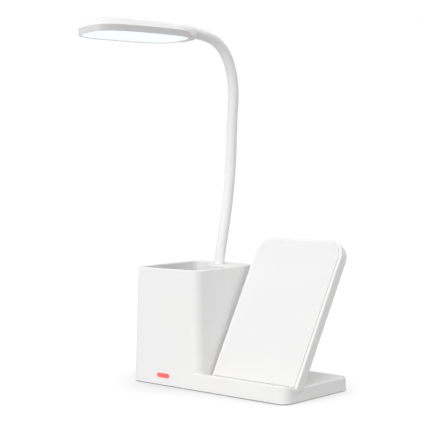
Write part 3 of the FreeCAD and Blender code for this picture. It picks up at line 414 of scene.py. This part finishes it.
MATERIALS = {
    "housing_white": moulded_plastic("satin white moulding", WHITE, 0.46),
    "cup_white": moulded_plastic("cup white moulding", WHITE, 0.48, fineness=2200.0),
    "plate_white": moulded_plastic("plate rim moulding", WHITE, 0.46),
    "plate_panel": moulded_plastic("plate panel matt", (0.83, 0.83, 0.832), 0.50,
                                   fineness=3400.0, depth=8e-6),
    # The head's white is paler than the housing's: painted light for the top light on the dome.
    "head_white": moulded_plastic("lamp head moulding painted paler", (0.935, 0.935, 0.935), 0.42,
                                  fineness=3600.0, depth=3e-6),
    "cover_white": moulded_plastic("cover moulding", (0.82, 0.82, 0.82), 0.5,
                                   fineness=1900.0, depth=1e-5, dust=0.05),
    "foot_rubber": granular("foot rubber", (0.30, 0.30, 0.31), 0.7, fineness=1900.0, depth=2e-5),
    "sleeve_rubber": soft_sleeve("neck sleeve silicone", (0.93, 0.93, 0.93)),
    "steel": drawn_metal("zinc plated steel", (0.60, 0.61, 0.63), 0.28),
    "hose_steel": drawn_metal("wound hose steel", (0.55, 0.55, 0.57), 0.3,
                              stretch=(0.1, 0.1, 1.0), attribute="straight_place"),
    "brass": drawn_metal("turned brass", (0.80, 0.64, 0.33), 0.26),
    "copper": enamelled_wire("enamelled copper", (0.82, 0.42, 0.22)),
    "board_green": printed_board("green circuit board", (0.012, 0.16, 0.07), (0.03, 0.27, 0.12)),
    "board_white": printed_board("white circuit board", (0.80, 0.80, 0.79), (0.86, 0.86, 0.83)),
    "chip_black": granular("chip moulding", (0.045, 0.045, 0.048), 0.45, fineness=4200.0, depth=6e-6),
    "ferrite": granular("sintered ferrite", (0.10, 0.10, 0.11), 0.55, fineness=2600.0, depth=1e-5),
    "foam": granular("open cell foam", (0.11, 0.11, 0.11), 0.85, fineness=1300.0, depth=1.2e-4, low=0.35),
    # The red window and the opal diffuser carry a painted glow.
    "lens_red": clear_tinted("red indicator window", (0.95, 0.14, 0.13),
                             glow=(1.0, 0.16, 0.15), strength=0.20),
    "diffuser_white": clear_tinted("opal diffuser", (0.84, 0.88, 0.90),
                                   glow=(0.86, 0.95, 1.0), strength=0.47, rough=0.38),
    "led_yellow": led_phosphor("led phosphor", (0.93, 0.80, 0.28)),
    "led_red": clear_tinted("red led", (0.85, 0.08, 0.07), glow=(1.0, 0.1, 0.08), strength=0.3),
}
SLOT_OF = {row["node"]: row["material_slot"] for row in frame["record"]["subparts"]}
# The head band is the head's white plastic painted grey: painted shade for the side of the band that the
# lamps light less.
PAINTED_SHADE_FINISH = {
    "head_band": moulded_plastic("lamp head band painted shade", (0.72, 0.72, 0.722), 0.36,
                                 fineness=3600.0, depth=3e-6),
}
for node, cad in NODES.items():
    cad.data.materials.clear()
    cad.data.materials.append(PAINTED_SHADE_FINISH.get(node) or MATERIALS[SLOT_OF[node]])


# ---------------------------------------------------------------- the neck

def travel(place, length, turn):
    """Y, Z and heading (degrees from upright, towards +Y) after an arc."""
    y, z, angle = place
    a, b = math.radians(angle), math.radians(angle + turn)
    if abs(turn) < STRAIGHT:
        return y + length * math.sin(a), z + length * math.cos(a), angle
    radius = length / (b - a)
    return y + radius * (math.cos(a) - math.cos(b)), z + radius * (math.sin(b) - math.sin(a)), angle + turn


def neck_place(s):
    """Point in metres at a length of neck above the rim; it runs straight on past either end."""
    place = (NECK_FOOT[0], NECK_FOOT[1], 0.0)
    if s < 0:
        return Vector((NECK_X, place[0], place[1] + s)) * MM
    for length, turn in STRETCHES:
        if s <= length:
            place = travel(place, s, turn * s / length)
            return Vector((NECK_X, place[0], place[1])) * MM
        place = travel(place, length, turn)
        s -= length
    place = travel(place, s, 0.0)
    return Vector((NECK_X, place[0], place[1])) * MM


def make_tube_tree():
    """Geometry nodes that sweep a closed tube along a line, with an optional spiral groove wound round it."""
    inputs = [("Line", "Geometry", None), ("Radius", "Float", 0.004), ("Sides", "Int", 48),
              ("Start Length", "Float", 0.0), ("Groove Pitch", "Float", 0.002),
              ("Groove Depth", "Float", 0.0), ("Finish", "Material", None)]
    g, i, o = shape_group("tube along a line", inputs, "Tube")
    line = g.add("GeometryNodeMeshToCurve", {"Mesh": i["Line"]}).outputs["Curve"]
    sideways = {"Curve": line, "Normal": (1.0, 0.0, 0.0)}
    line = g.add("GeometryNodeSetCurveNormal", sideways, mode="FREE").outputs["Curve"]
    along = g.add("GeometryNodeCaptureAttribute", {"Geometry": line}, domain="POINT")
    along.capture_items.new("FLOAT", "Length")
    along.capture_items.new("VECTOR", "Middle")
    g.put(along.inputs["Length"], g.add("GeometryNodeSplineParameter").outputs["Length"])
    g.put(along.inputs["Middle"], g.add("GeometryNodeInputPosition").outputs[0])
    round_profile = {"Resolution": i["Sides"], "Radius": i["Radius"]}
    circle = g.add("GeometryNodeCurvePrimitiveCircle", round_profile, mode="RADIUS")
    ring = g.add("GeometryNodeCaptureAttribute", {"Geometry": circle.outputs["Curve"]}, domain="POINT")
    ring.capture_items.new("VECTOR", "Spoke")
    g.put(ring.inputs["Spoke"], g.add("GeometryNodeInputPosition").outputs[0])
    swept = {"Curve": along.outputs["Geometry"], "Profile Curve": ring.outputs["Geometry"], "Fill Caps": True}
    tube = g.add("GeometryNodeCurveToMesh", swept).outputs["Mesh"]
    length = g.math("ADD", along.outputs["Length"], i["Start Length"])
    spoke = g.add("ShaderNodeSeparateXYZ", {"Vector": ring.outputs["Spoke"]}).outputs
    straight = g.add("ShaderNodeCombineXYZ", {"X": spoke["X"], "Y": spoke["Y"], "Z": length}).outputs[0]
    stored = {"Geometry": tube, "Name": "straight_place", "Value": straight}
    store = g.add("GeometryNodeStoreNamedAttribute", stored, data_type="FLOAT_VECTOR", domain="POINT")
    tube = store.outputs["Geometry"]
    round_it = g.math("DIVIDE", g.math("ARCTAN2", spoke["Y"], spoke["X"]), 2 * math.pi)
    wound = g.math("FRACT", g.math("SUBTRACT", g.math("DIVIDE", length, i["Groove Pitch"]), round_it))
    swing = g.math("ABSOLUTE", g.math("SUBTRACT", g.math("MULTIPLY", wound, 2.0), 1.0))
    hollow = g.math("POWER", swing, 3.0)
    point = g.add("GeometryNodeInputPosition").outputs[0]
    outward = g.vector("NORMALIZE", g.vector("SUBTRACT", point, along.outputs["Middle"]))
    inward = g.add("ShaderNodeVectorMath", {0: outward}, operation="SCALE")
    g.put(inward.inputs["Scale"], g.math("MULTIPLY", g.math("MULTIPLY", hollow, i["Groove Depth"]), -1.0))
    grooved = {"Geometry": tube, "Offset": inward.outputs[0]}
    tube = g.add("GeometryNodeSetPosition", grooved).outputs["Geometry"]
    tube = g.add("GeometryNodeSetShadeSmooth", {"Geometry": tube}).outputs[0]
    tube = g.add("GeometryNodeRealizeInstances", {"Geometry": tube}).outputs["Geometry"]
    tube = g.add("GeometryNodeSetMaterial", {"Geometry": tube, "Material": i["Finish"]}).outputs["Geometry"]
    g.put(o["Tube"], tube)
    return g.tree


def grow(name, mesh, tree, values):
    """Runs a geometry node tree on a mesh with its named inputs set; returns a plain object."""
    seed = bpy.data.objects.new(name + "_seed", mesh)
    bpy.context.scene.collection.objects.link(seed)
    modifier = seed.modifiers.new("grow", "NODES")
    modifier.node_group = tree
    for item in tree.interface.items_tree:
        if item.item_type == "SOCKET" and item.in_out == "INPUT" and item.name in values:
            modifier[item.identifier] = values[item.name]
    graph = bpy.context.evaluated_depsgraph_get()
    grown = seed.evaluated_get(graph)
    plain = bpy.data.meshes.new_from_object(grown, preserve_all_data_layers=True, depsgraph=graph)
    seed.modifiers.remove(modifier)
    bpy.data.objects.remove(seed)
    piece = bpy.data.objects.new(name, plain)
    bpy.context.scene.collection.objects.link(piece)
    return piece


def sharpen(piece, degrees=35.0):
    """Faces turn outwards and share normals, except across edges sharper than the angle."""
    shape = bmesh.new()
    shape.from_mesh(piece.data)
    bmesh.ops.recalc_face_normals(shape, faces=shape.faces)
    for face in shape.faces:
        face.smooth = True
    shape.to_mesh(piece.data)
    shape.free()
    piece.data.set_sharp_from_angle(angle=math.radians(degrees))


def line_mesh(name, start, end, step):
    """A chain of edges along the neck between two lengths."""
    count = max(2, int(round((end - start) / step)) + 1)
    points = [neck_place(start + (end - start) * n / (count - 1)) for n in range(count)]
    mesh = bpy.data.meshes.new(name)
    mesh.from_pydata(points, [(n, n + 1) for n in range(count - 1)], [])
    return mesh


TUBE = make_tube_tree()
joint_at = [sum(length for length, turn in STRETCHES[:k]) for k in range(1, JOINTS + 1)]
neck_end = sum(length for length, turn in STRETCHES)
middles = [0.5 * (joint_at[k] + joint_at[k + 1]) for k in range(JOINTS - 1)]


def neck_run(name, k, start, end, kind, nodes):
    """One stretch of sleeve or hose around joint k."""
    mesh = line_mesh(name, start, end, kind["step"])
    slot = kind["slot"]
    piece = grow(name, mesh, TUBE, {"Radius": kind["radius"] * MM, "Sides": kind["sides"],
                                    "Start Length": start * MM, "Groove Pitch": kind["pitch"] * MM,
                                    "Groove Depth": kind["depth"] * MM, "Finish": MATERIALS[slot]})
    sharpen(piece, degrees=50.0)
    reach = FIRST_REACH if k == 1 else REACH
    at = joint_at[k - 1]
    neck_place(at - reach)
    neck_place(at + reach)
    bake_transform(piece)
    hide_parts(*nodes)


for k in range(1, JOINTS + 1):
    first = k == 1
    last = k == JOINTS
    low = -SOCKET_DEPTH if first else middles[k - 2]
    high = neck_end + COLLAR_DEPTH if last else middles[k - 1]
    neck_run("neck_sleeve_run_%d" % k, k, low, high, SLEEVE,
             ["neck_sleeve_%d" % k] + (["neck_sleeve_0"] if first else []))
    low = -HOSE_FOOT if first else low
    high = neck_end + HOSE_TIP if last else high
    neck_run("neck_hose_run_%d" % k, k, low, high, HOSE,
             ["neck_hose_%d" % k] + (["neck_hose_0"] if first else []))


# ---------------------------------------------------------------- screws, feet and windings

WELD = 1e-6                            # points of a CAD node nearer than this are one
UP = Vector((0.0, 0.0, 1.0))
HEAD_PITCH = -0.5                      # degrees that the lamp head leans fore and aft
HEAD_ROLL = -5.2                       # degrees that it leans sideways
PLATE_LEAN = math.radians(90 - 30.66)  # the charging coil lies parallel to the plate's face, which leans back

# The charging coil, in mm.
COIL_INNER = 10.4
COIL_OUTER = 21.6
COIL_TURNS = 16.0
COIL_LAYERS = 2
COIL_LAYER_STEP = 0.7
COIL_STEPS = 56                        # steps in one turn
WIRE_R = 0.33
WIRE_SIDES = 8


def islands(node):
    """The separate lumps of a CAD node, each as a list of points in a fixed order."""
    cad = NODES[node]
    shape = bmesh.new()
    shape.from_mesh(cad.data)
    shape.transform(cad.matrix_world)
    bmesh.ops.remove_doubles(shape, verts=shape.verts, dist=WELD)
    waiting = set(shape.verts)
    lumps = []
    while waiting:
        reached = [waiting.pop()]
        lump = []
        while reached:
            vert = reached.pop()
            lump.append(vert.co.copy())
            for edge in vert.link_edges:
                other = edge.other_vert(vert)
                if other in waiting:
                    waiting.discard(other)
                    reached.append(other)
        lumps.append(sorted(lump, key=tuple))
    shape.free()
    return sorted(lumps, key=lambda lump: tuple(round(c, 5) for c in lump[0]))


def seats(node, aim, height):
    """Where each lump's axis meets the plane a given height above its lower end, seen along the aim."""
    across = aim.orthogonal().normalized()
    along = aim.cross(across)
    places = []
    for lump in islands(node):
        spans = [[point.dot(axis) for point in lump] for axis in (across, along, aim)]
        middle = [0.5 * (min(span) + max(span)) for span in spans[:2]]
        places.append(across * middle[0] + along * middle[1] + aim * (min(spans[2]) + height))
    return places


def lathe(name, rings, sides):
    """A closed mesh turned from rings of (radius, height); a radius may be a function of angle and height."""
    shape = bmesh.new()
    rows = []
    for radius, height in rings:
        if radius == 0:
            rows.append([shape.verts.new((0, 0, height * MM))])
            continue
        row = []
        for n in range(sides):
            angle = 2 * math.pi * n / sides
            r = radius(angle, height) if callable(radius) else radius
            row.append(shape.verts.new((r * math.cos(angle) * MM, r * math.sin(angle) * MM, height * MM)))
        rows.append(row)
    for low, high in zip(rows, rows[1:]):
        for n in range(sides):
            after = n + 1
            corners = [low[n % len(low)], low[after % len(low)], high[after % len(high)], high[n % len(high)]]
            shape.faces.new(list(dict.fromkeys(corners)))
    mesh = bpy.data.meshes.new(name)
    shape.to_mesh(mesh)
    shape.free()
    return mesh


def screw_mesh(name, shank, length, head, head_h, pitch):
    """Socket screw in mm, shank and head by radius, head seated at height 0 and shank upwards."""
    socket_r = 0.45 * head
    socket_floor = 0.4 * head_h - head_h
    socket_point = 1.15 * 0.4 * head_h - head_h
    thread_depth = 0.16
    chamfer = 0.08

    def hexagon(angle, height):
        return socket_r / math.cos((angle + math.pi / 6) % (math.pi / 3) - math.pi / 6)

    def inner_hexagon(angle, height):
        return 0.97 * hexagon(angle, height)

    def thread(angle, height):
        turn = (height / pitch - angle / (2 * math.pi)) % 1.0
        return shank * (1.0 - thread_depth * abs(2.0 * turn - 1.0))

    steps = int(length / pitch * 6)
    crest = length - 0.6 * shank
    rings = [(0, length), (0.55 * shank, length)]
    rings += [(thread, crest * (1 - n / steps)) for n in range(steps)]
    rings += [((1.0 - thread_depth) * shank, 0.0), (head - chamfer, 0.0), (head, -chamfer)]
    rings += [(head, 0.3 - head_h), (head - 0.1, 0.1 - head_h), (head - 0.35, -head_h)]
    rings += [(hexagon, -head_h), (inner_hexagon, 0.06 - head_h), (inner_hexagon, socket_floor)]
    rings += [(0, socket_point)]
    return lathe(name, rings, 24)


def foot_mesh(name, radius, height):
    """Round rubber foot, in mm, with grip rings moulded into its underside."""
    ring_pitch = 1.0
    ring_depth = 0.2
    rings = [(0, height), (radius - 0.1, height), (radius, height - 0.1), (radius, 0.25)]
    rings += [(radius - 0.1, 0.08), (radius - 0.3, 0.0)]
    at = radius - 0.9
    while at > ring_pitch:
        rings += [(at + 0.12, 0.0), (at, ring_depth), (at - 0.25, ring_depth), (at - 0.37, 0.0)]
        at -= ring_pitch
    return lathe(name, rings + [(0, 0.0)], 48)


def make_copies_tree():
    """Geometry nodes that set a copy of one unit on every point, aimed by the point and turned at random."""
    inputs = [("Points", "Geometry", None), ("Unit", "Object", None), ("Seed", "Int", None),
              ("Finish", "Material", None)]
    g, i, o = shape_group("copies on points", inputs, "Copies")
    aim = g.add("GeometryNodeInputNamedAttribute", {"Name": "aim"}, data_type="FLOAT_VECTOR")
    aimed = {"Vector": aim.outputs["Attribute"]}
    stand = g.add("FunctionNodeAlignRotationToVector", aimed, axis="Z").outputs[0]
    spin = g.add("FunctionNodeRandomValue", {"Seed": i["Seed"]}, data_type="FLOAT")
    turn = g.math("MULTIPLY", spin.outputs[1], 2 * math.pi)
    euler = g.add("ShaderNodeCombineXYZ", {"Z": turn}).outputs[0]
    turned = {"Rotation": stand, "Rotate By": euler}
    stand = g.add("FunctionNodeRotateRotation", turned, rotation_space="LOCAL").outputs[0]
    points = g.add("GeometryNodeMeshToPoints", {"Mesh": i["Points"]}).outputs[0]
    unit = g.add("GeometryNodeObjectInfo", {"Object": i["Unit"], "As Instance": True}).outputs["Geometry"]
    placed = {"Points": points, "Instance": unit, "Rotation": stand}
    copies = g.add("GeometryNodeInstanceOnPoints", placed).outputs[0]
    copies = g.add("GeometryNodeRealizeInstances", {"Geometry": copies}).outputs[0]
    copies = g.add("GeometryNodeSetMaterial", {"Geometry": copies, "Material": i["Finish"]}).outputs[0]
    g.put(o["Copies"], copies)
    return g.tree


def make_winding_tree():
    """Geometry nodes that wind round wire into layers of a flat spiral, set at a place in a tilted plane."""
    inputs = [("Points", "Geometry", None), ("Inner Radius", "Float", None), ("Outer Radius", "Float", None),
              ("Turns", "Float", None), ("Wire Radius", "Float", None), ("Layer Step", "Vector", None),
              ("Centre", "Vector", None), ("Tilt", "Vector", None), ("Finish", "Material", None)]
    g, i, o = shape_group("flat winding", inputs, "Winding")
    spiral = g.add("GeometryNodeCurveSpiral", {"Resolution": COIL_STEPS, "Rotations": i["Turns"],
                                               "Start Radius": i["Inner Radius"],
                                               "End Radius": i["Outer Radius"], "Height": 0.0})
    round_wire = {"Resolution": WIRE_SIDES, "Radius": i["Wire Radius"]}
    profile = g.add("GeometryNodeCurvePrimitiveCircle", round_wire, mode="RADIUS")
    swept = {"Curve": spiral.outputs[0], "Profile Curve": profile.outputs["Curve"], "Fill Caps": True}
    wire = g.add("GeometryNodeCurveToMesh", swept).outputs["Mesh"]
    stacked = {"Count": COIL_LAYERS, "Offset": i["Layer Step"]}
    layers = g.add("GeometryNodeMeshLine", stacked, mode="OFFSET").outputs[0]
    wound = g.add("GeometryNodeInstanceOnPoints", {"Points": layers, "Instance": wire}).outputs[0]
    wound = g.add("GeometryNodeRealizeInstances", {"Geometry": wound}).outputs[0]
    wound = g.add("GeometryNodeTransform", {"Geometry": wound, "Translation": i["Centre"],
                                            "Rotation": i["Tilt"]}).outputs[0]
    wound = g.add("GeometryNodeSetMaterial", {"Geometry": wound, "Material": i["Finish"]}).outputs[0]
    g.put(o["Winding"], wound)
    return g.tree


COPIES = make_copies_tree()
WINDING = make_winding_tree()


def set_copies(name, node, mesh, aim, height, body, seed):
    """Puts a copy of a detailed unit in place of every lump of a CAD node."""
    unit = bpy.data.objects.new(name + "_unit", mesh)
    bpy.context.scene.collection.objects.link(unit)
    places = seats(node, aim, height * MM)
    points = bpy.data.meshes.new(name)
    points.from_pydata(places, [], [])
    points.attributes.new("aim", "FLOAT_VECTOR", "POINT").data.foreach_set("vector", list(aim) * len(places))
    piece = grow(name, points, COPIES, {"Unit": unit, "Seed": seed, "Finish": MATERIALS[SLOT_OF[node]]})
    bpy.data.objects.remove(unit)
    sharpen(piece)
    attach(piece, body)
    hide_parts(node)


def set_screws(kind, aim, body, seed, **sizes):
    """Puts threaded screws in place of the plain ones of a CAD node."""
    mesh = screw_mesh(kind + " screw", **sizes)
    set_copies(kind + "_screw_set", kind + "_screws", mesh, aim, sizes["head_h"], body, seed)


HEAD_LEAN = Matrix.Rotation(math.radians(HEAD_PITCH), 3, "X")
HEAD_TURN = HEAD_LEAN @ Matrix.Rotation(math.radians(HEAD_ROLL), 3, "Y")
set_screws("cover", UP, "base", seed=3, shank=1.45, length=6.6, head=2.6, head_h=1.1, pitch=0.9)
set_screws("plate", UP, "base", seed=5, shank=1.45, length=7.0, head=2.6, head_h=1.1, pitch=0.9)
set_screws("board", -UP, "base", seed=7, shank=0.9, length=2.8, head=1.7, head_h=0.8, pitch=0.6)
set_screws("head", HEAD_TURN @ UP, "head", seed=9, shank=0.9, length=3.4, head=1.7, head_h=0.8, pitch=0.6)
set_copies("foot_set", "rubber_feet", foot_mesh("foot", radius=6.0, height=1.8), UP, 0.0, "base", seed=11)

coil_lumps = islands("charging_coil")
coil_middle = sum(coil_lumps[0], Vector()) / len(coil_lumps[0])
coil_axis = Matrix.Rotation(PLATE_LEAN, 3, "X") @ UP
coil = grow("charging_coil_winding", bpy.data.meshes.new("charging_coil_winding"), WINDING, {
    "Inner Radius": COIL_INNER * MM, "Outer Radius": COIL_OUTER * MM, "Turns": COIL_TURNS,
    "Wire Radius": WIRE_R * MM, "Layer Step": (0.0, 0.0, COIL_LAYER_STEP * MM),
    "Centre": tuple(coil_middle - coil_axis * (0.5 * COIL_LAYER_STEP * MM)),
    "Tilt": (PLATE_LEAN, 0.0, 0.0), "Finish": MATERIALS[SLOT_OF["charging_coil"]]})
sharpen(coil)
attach(coil, "base")
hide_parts("charging_coil")


# ---------------------------------------------------------------- floor, light and camera

# The camera's angles are in degrees and its place in metres; the focal length is in pixels of the picture.
PICTURE_PX = 422
CAMERA_AZIMUTH = 43.343
CAMERA_ELEVATION = 2.915
CAMERA_ROLL = -0.936
CAMERA_FOCAL_PX = 1249.47
CAMERA_PLACE = Vector((0.730711, -0.804819, 0.208716))
CAMERA_NEAR = 0.01
CAMERA_FAR = 50.0
SENSOR_WIDTH = 36.0
FLOOR_HALF = 6.0
FLOOR_TONE = 0.66                      # the floor's own paint
FLOOR_SHADOW = 0.13                    # share of that paint which shows the lamps' shadows
FLOOR_LIFT = 0.975                     # glow that brings the floor up to white
CONTACT_REACH = 0.11                   # how far from the base its contact shadow runs
CONTACT_POWER = 1.5
CONTACT_SHARE = 0.74
CONTACT_SAMPLES = 16
WORLD_FILL = 0.0                       # the lamps give all the soft light
LAMP_SPREAD = 60.0
# Each lamp's name, azimuth, elevation and strength.
LAMPS = (("key", 17.0, 26.0, 2.16), ("left fill", -60.0, 30.0, 0.55), ("top fill", 0.0, 85.0, 0.82),
         ("rear fill", 148.0, 42.0, 1.08))


def shows_background(g):
    """1 for the rays that see the background: the camera's own, and those off gloss or through glass."""
    rays = g.add("ShaderNodeLightPath").outputs
    mirrored = g.math("MAXIMUM", rays["Is Glossy Ray"], rays["Is Transmission Ray"])
    return g.math("MAXIMUM", rays["Is Camera Ray"], mirrored)


def make_floor():
    """A pale floor that keeps the lamp's soft shadow, with painted contact shade that darkens it where the
    base meets it.
    """
    mesh = bpy.data.meshes.new("floor")
    half = FLOOR_HALF
    corners = [(-half, -half, 0), (half, -half, 0), (half, half, 0), (-half, half, 0)]
    mesh.from_pydata(corners, [], [(0, 1, 2, 3)])
    floor = bpy.data.objects.new("floor", mesh)
    bpy.context.scene.collection.objects.link(floor)
    material = bpy.data.materials.new("pale floor")
    material.use_nodes = True
    tree = material.node_tree
    tree.nodes.clear()
    g = Graph(tree)
    paint = g.add("ShaderNodeBsdfDiffuse", {"Color": (FLOOR_TONE,) * 3 + (1.0,)}).outputs[0]
    shadow = g.add("ShaderNodeBsdfDiffuse", {"Color": (FLOOR_TONE * FLOOR_SHADOW,) * 3 + (1.0,)}).outputs[0]
    # Painted contact shade: an occlusion mask dims the floor's glow under and beside the base.
    nearby = {"Distance": CONTACT_REACH}
    open_share = g.add("ShaderNodeAmbientOcclusion", nearby, samples=CONTACT_SAMPLES).outputs["AO"]
    closed = g.math("POWER", g.math("SUBTRACT", 1.0, open_share, clamp=True), CONTACT_POWER)
    painted_shade_lift = g.math("MULTIPLY", FLOOR_LIFT, g.math("SUBTRACT", 1.0, g.math("MULTIPLY", closed, CONTACT_SHARE)))
    lift = g.add("ShaderNodeEmission", {"Color": (1.0, 1.0, 1.0, 1.0), "Strength": painted_shade_lift}).outputs[0]
    shown = g.add("ShaderNodeAddShader", {0: shadow, 1: lift}).outputs[0]
    seen = shows_background(g)
    both = g.add("ShaderNodeMixShader", {0: seen, 1: paint, 2: shown}).outputs[0]
    g.add("ShaderNodeOutputMaterial", {"Surface": both})
    mesh.materials.append(material)


def make_world():
    """A white backdrop all round, for the camera and for what gloss and clear plastic show."""
    world = bpy.data.worlds.new("studio")
    bpy.context.scene.world = world
    world.use_nodes = True
    world.node_tree.nodes.clear()
    g = Graph(world.node_tree)
    seen = shows_background(g)
    fill = g.add("ShaderNodeBackground", {"Color": (1.0, 1.0, 1.0, 1.0), "Strength": WORLD_FILL}).outputs[0]
    plain = g.add("ShaderNodeBackground", {"Color": (1.0, 1.0, 1.0, 1.0), "Strength": 1.0}).outputs[0]
    both = g.add("ShaderNodeMixShader", {0: seen, 1: fill, 2: plain}).outputs[0]
    g.add("ShaderNodeOutputWorld", {"Surface": both})


def make_sun(name, azimuth, elevation, strength):
    """A soft lamp far off; azimuth 0 is straight in front of the base and 90 is at its right."""
    lamp = bpy.data.lights.new(name, "SUN")
    lamp.energy = strength
    lamp.angle = math.radians(LAMP_SPREAD)
    thing = bpy.data.objects.new(name, lamp)
    thing.rotation_euler = (math.radians(90 - elevation), 0.0, math.radians(azimuth))
    bpy.context.scene.collection.objects.link(thing)


def make_camera():
    """The camera, from its azimuth, elevation, roll, place and focal length."""
    a, e, r = math.radians(CAMERA_AZIMUTH), math.radians(CAMERA_ELEVATION), math.radians(CAMERA_ROLL)
    back = Vector((math.sin(a) * math.cos(e), -math.cos(a) * math.cos(e), math.sin(e)))
    right = (-back).cross(Vector((0, 0, 1))).normalized()
    up = right.cross(-back)
    turned_right = right * math.cos(r) + up * math.sin(r)
    turned_up = -right * math.sin(r) + up * math.cos(r)
    lens = bpy.data.cameras.new("camera")
    lens.sensor_width = SENSOR_WIDTH
    lens.lens = CAMERA_FOCAL_PX * lens.sensor_width / PICTURE_PX
    lens.clip_start = CAMERA_NEAR
    lens.clip_end = CAMERA_FAR
    camera = bpy.data.objects.new("camera", lens)
    turn = Matrix((turned_right, turned_up, back)).transposed()
    camera.matrix_world = Matrix.Translation(CAMERA_PLACE) @ turn.to_4x4()
    bpy.context.scene.collection.objects.link(camera)
    bpy.context.scene.camera = camera


make_floor()
make_world()
for lamp in LAMPS:
    make_sun(*lamp)
make_camera()
bpy.context.scene.view_settings.view_transform = "Standard"
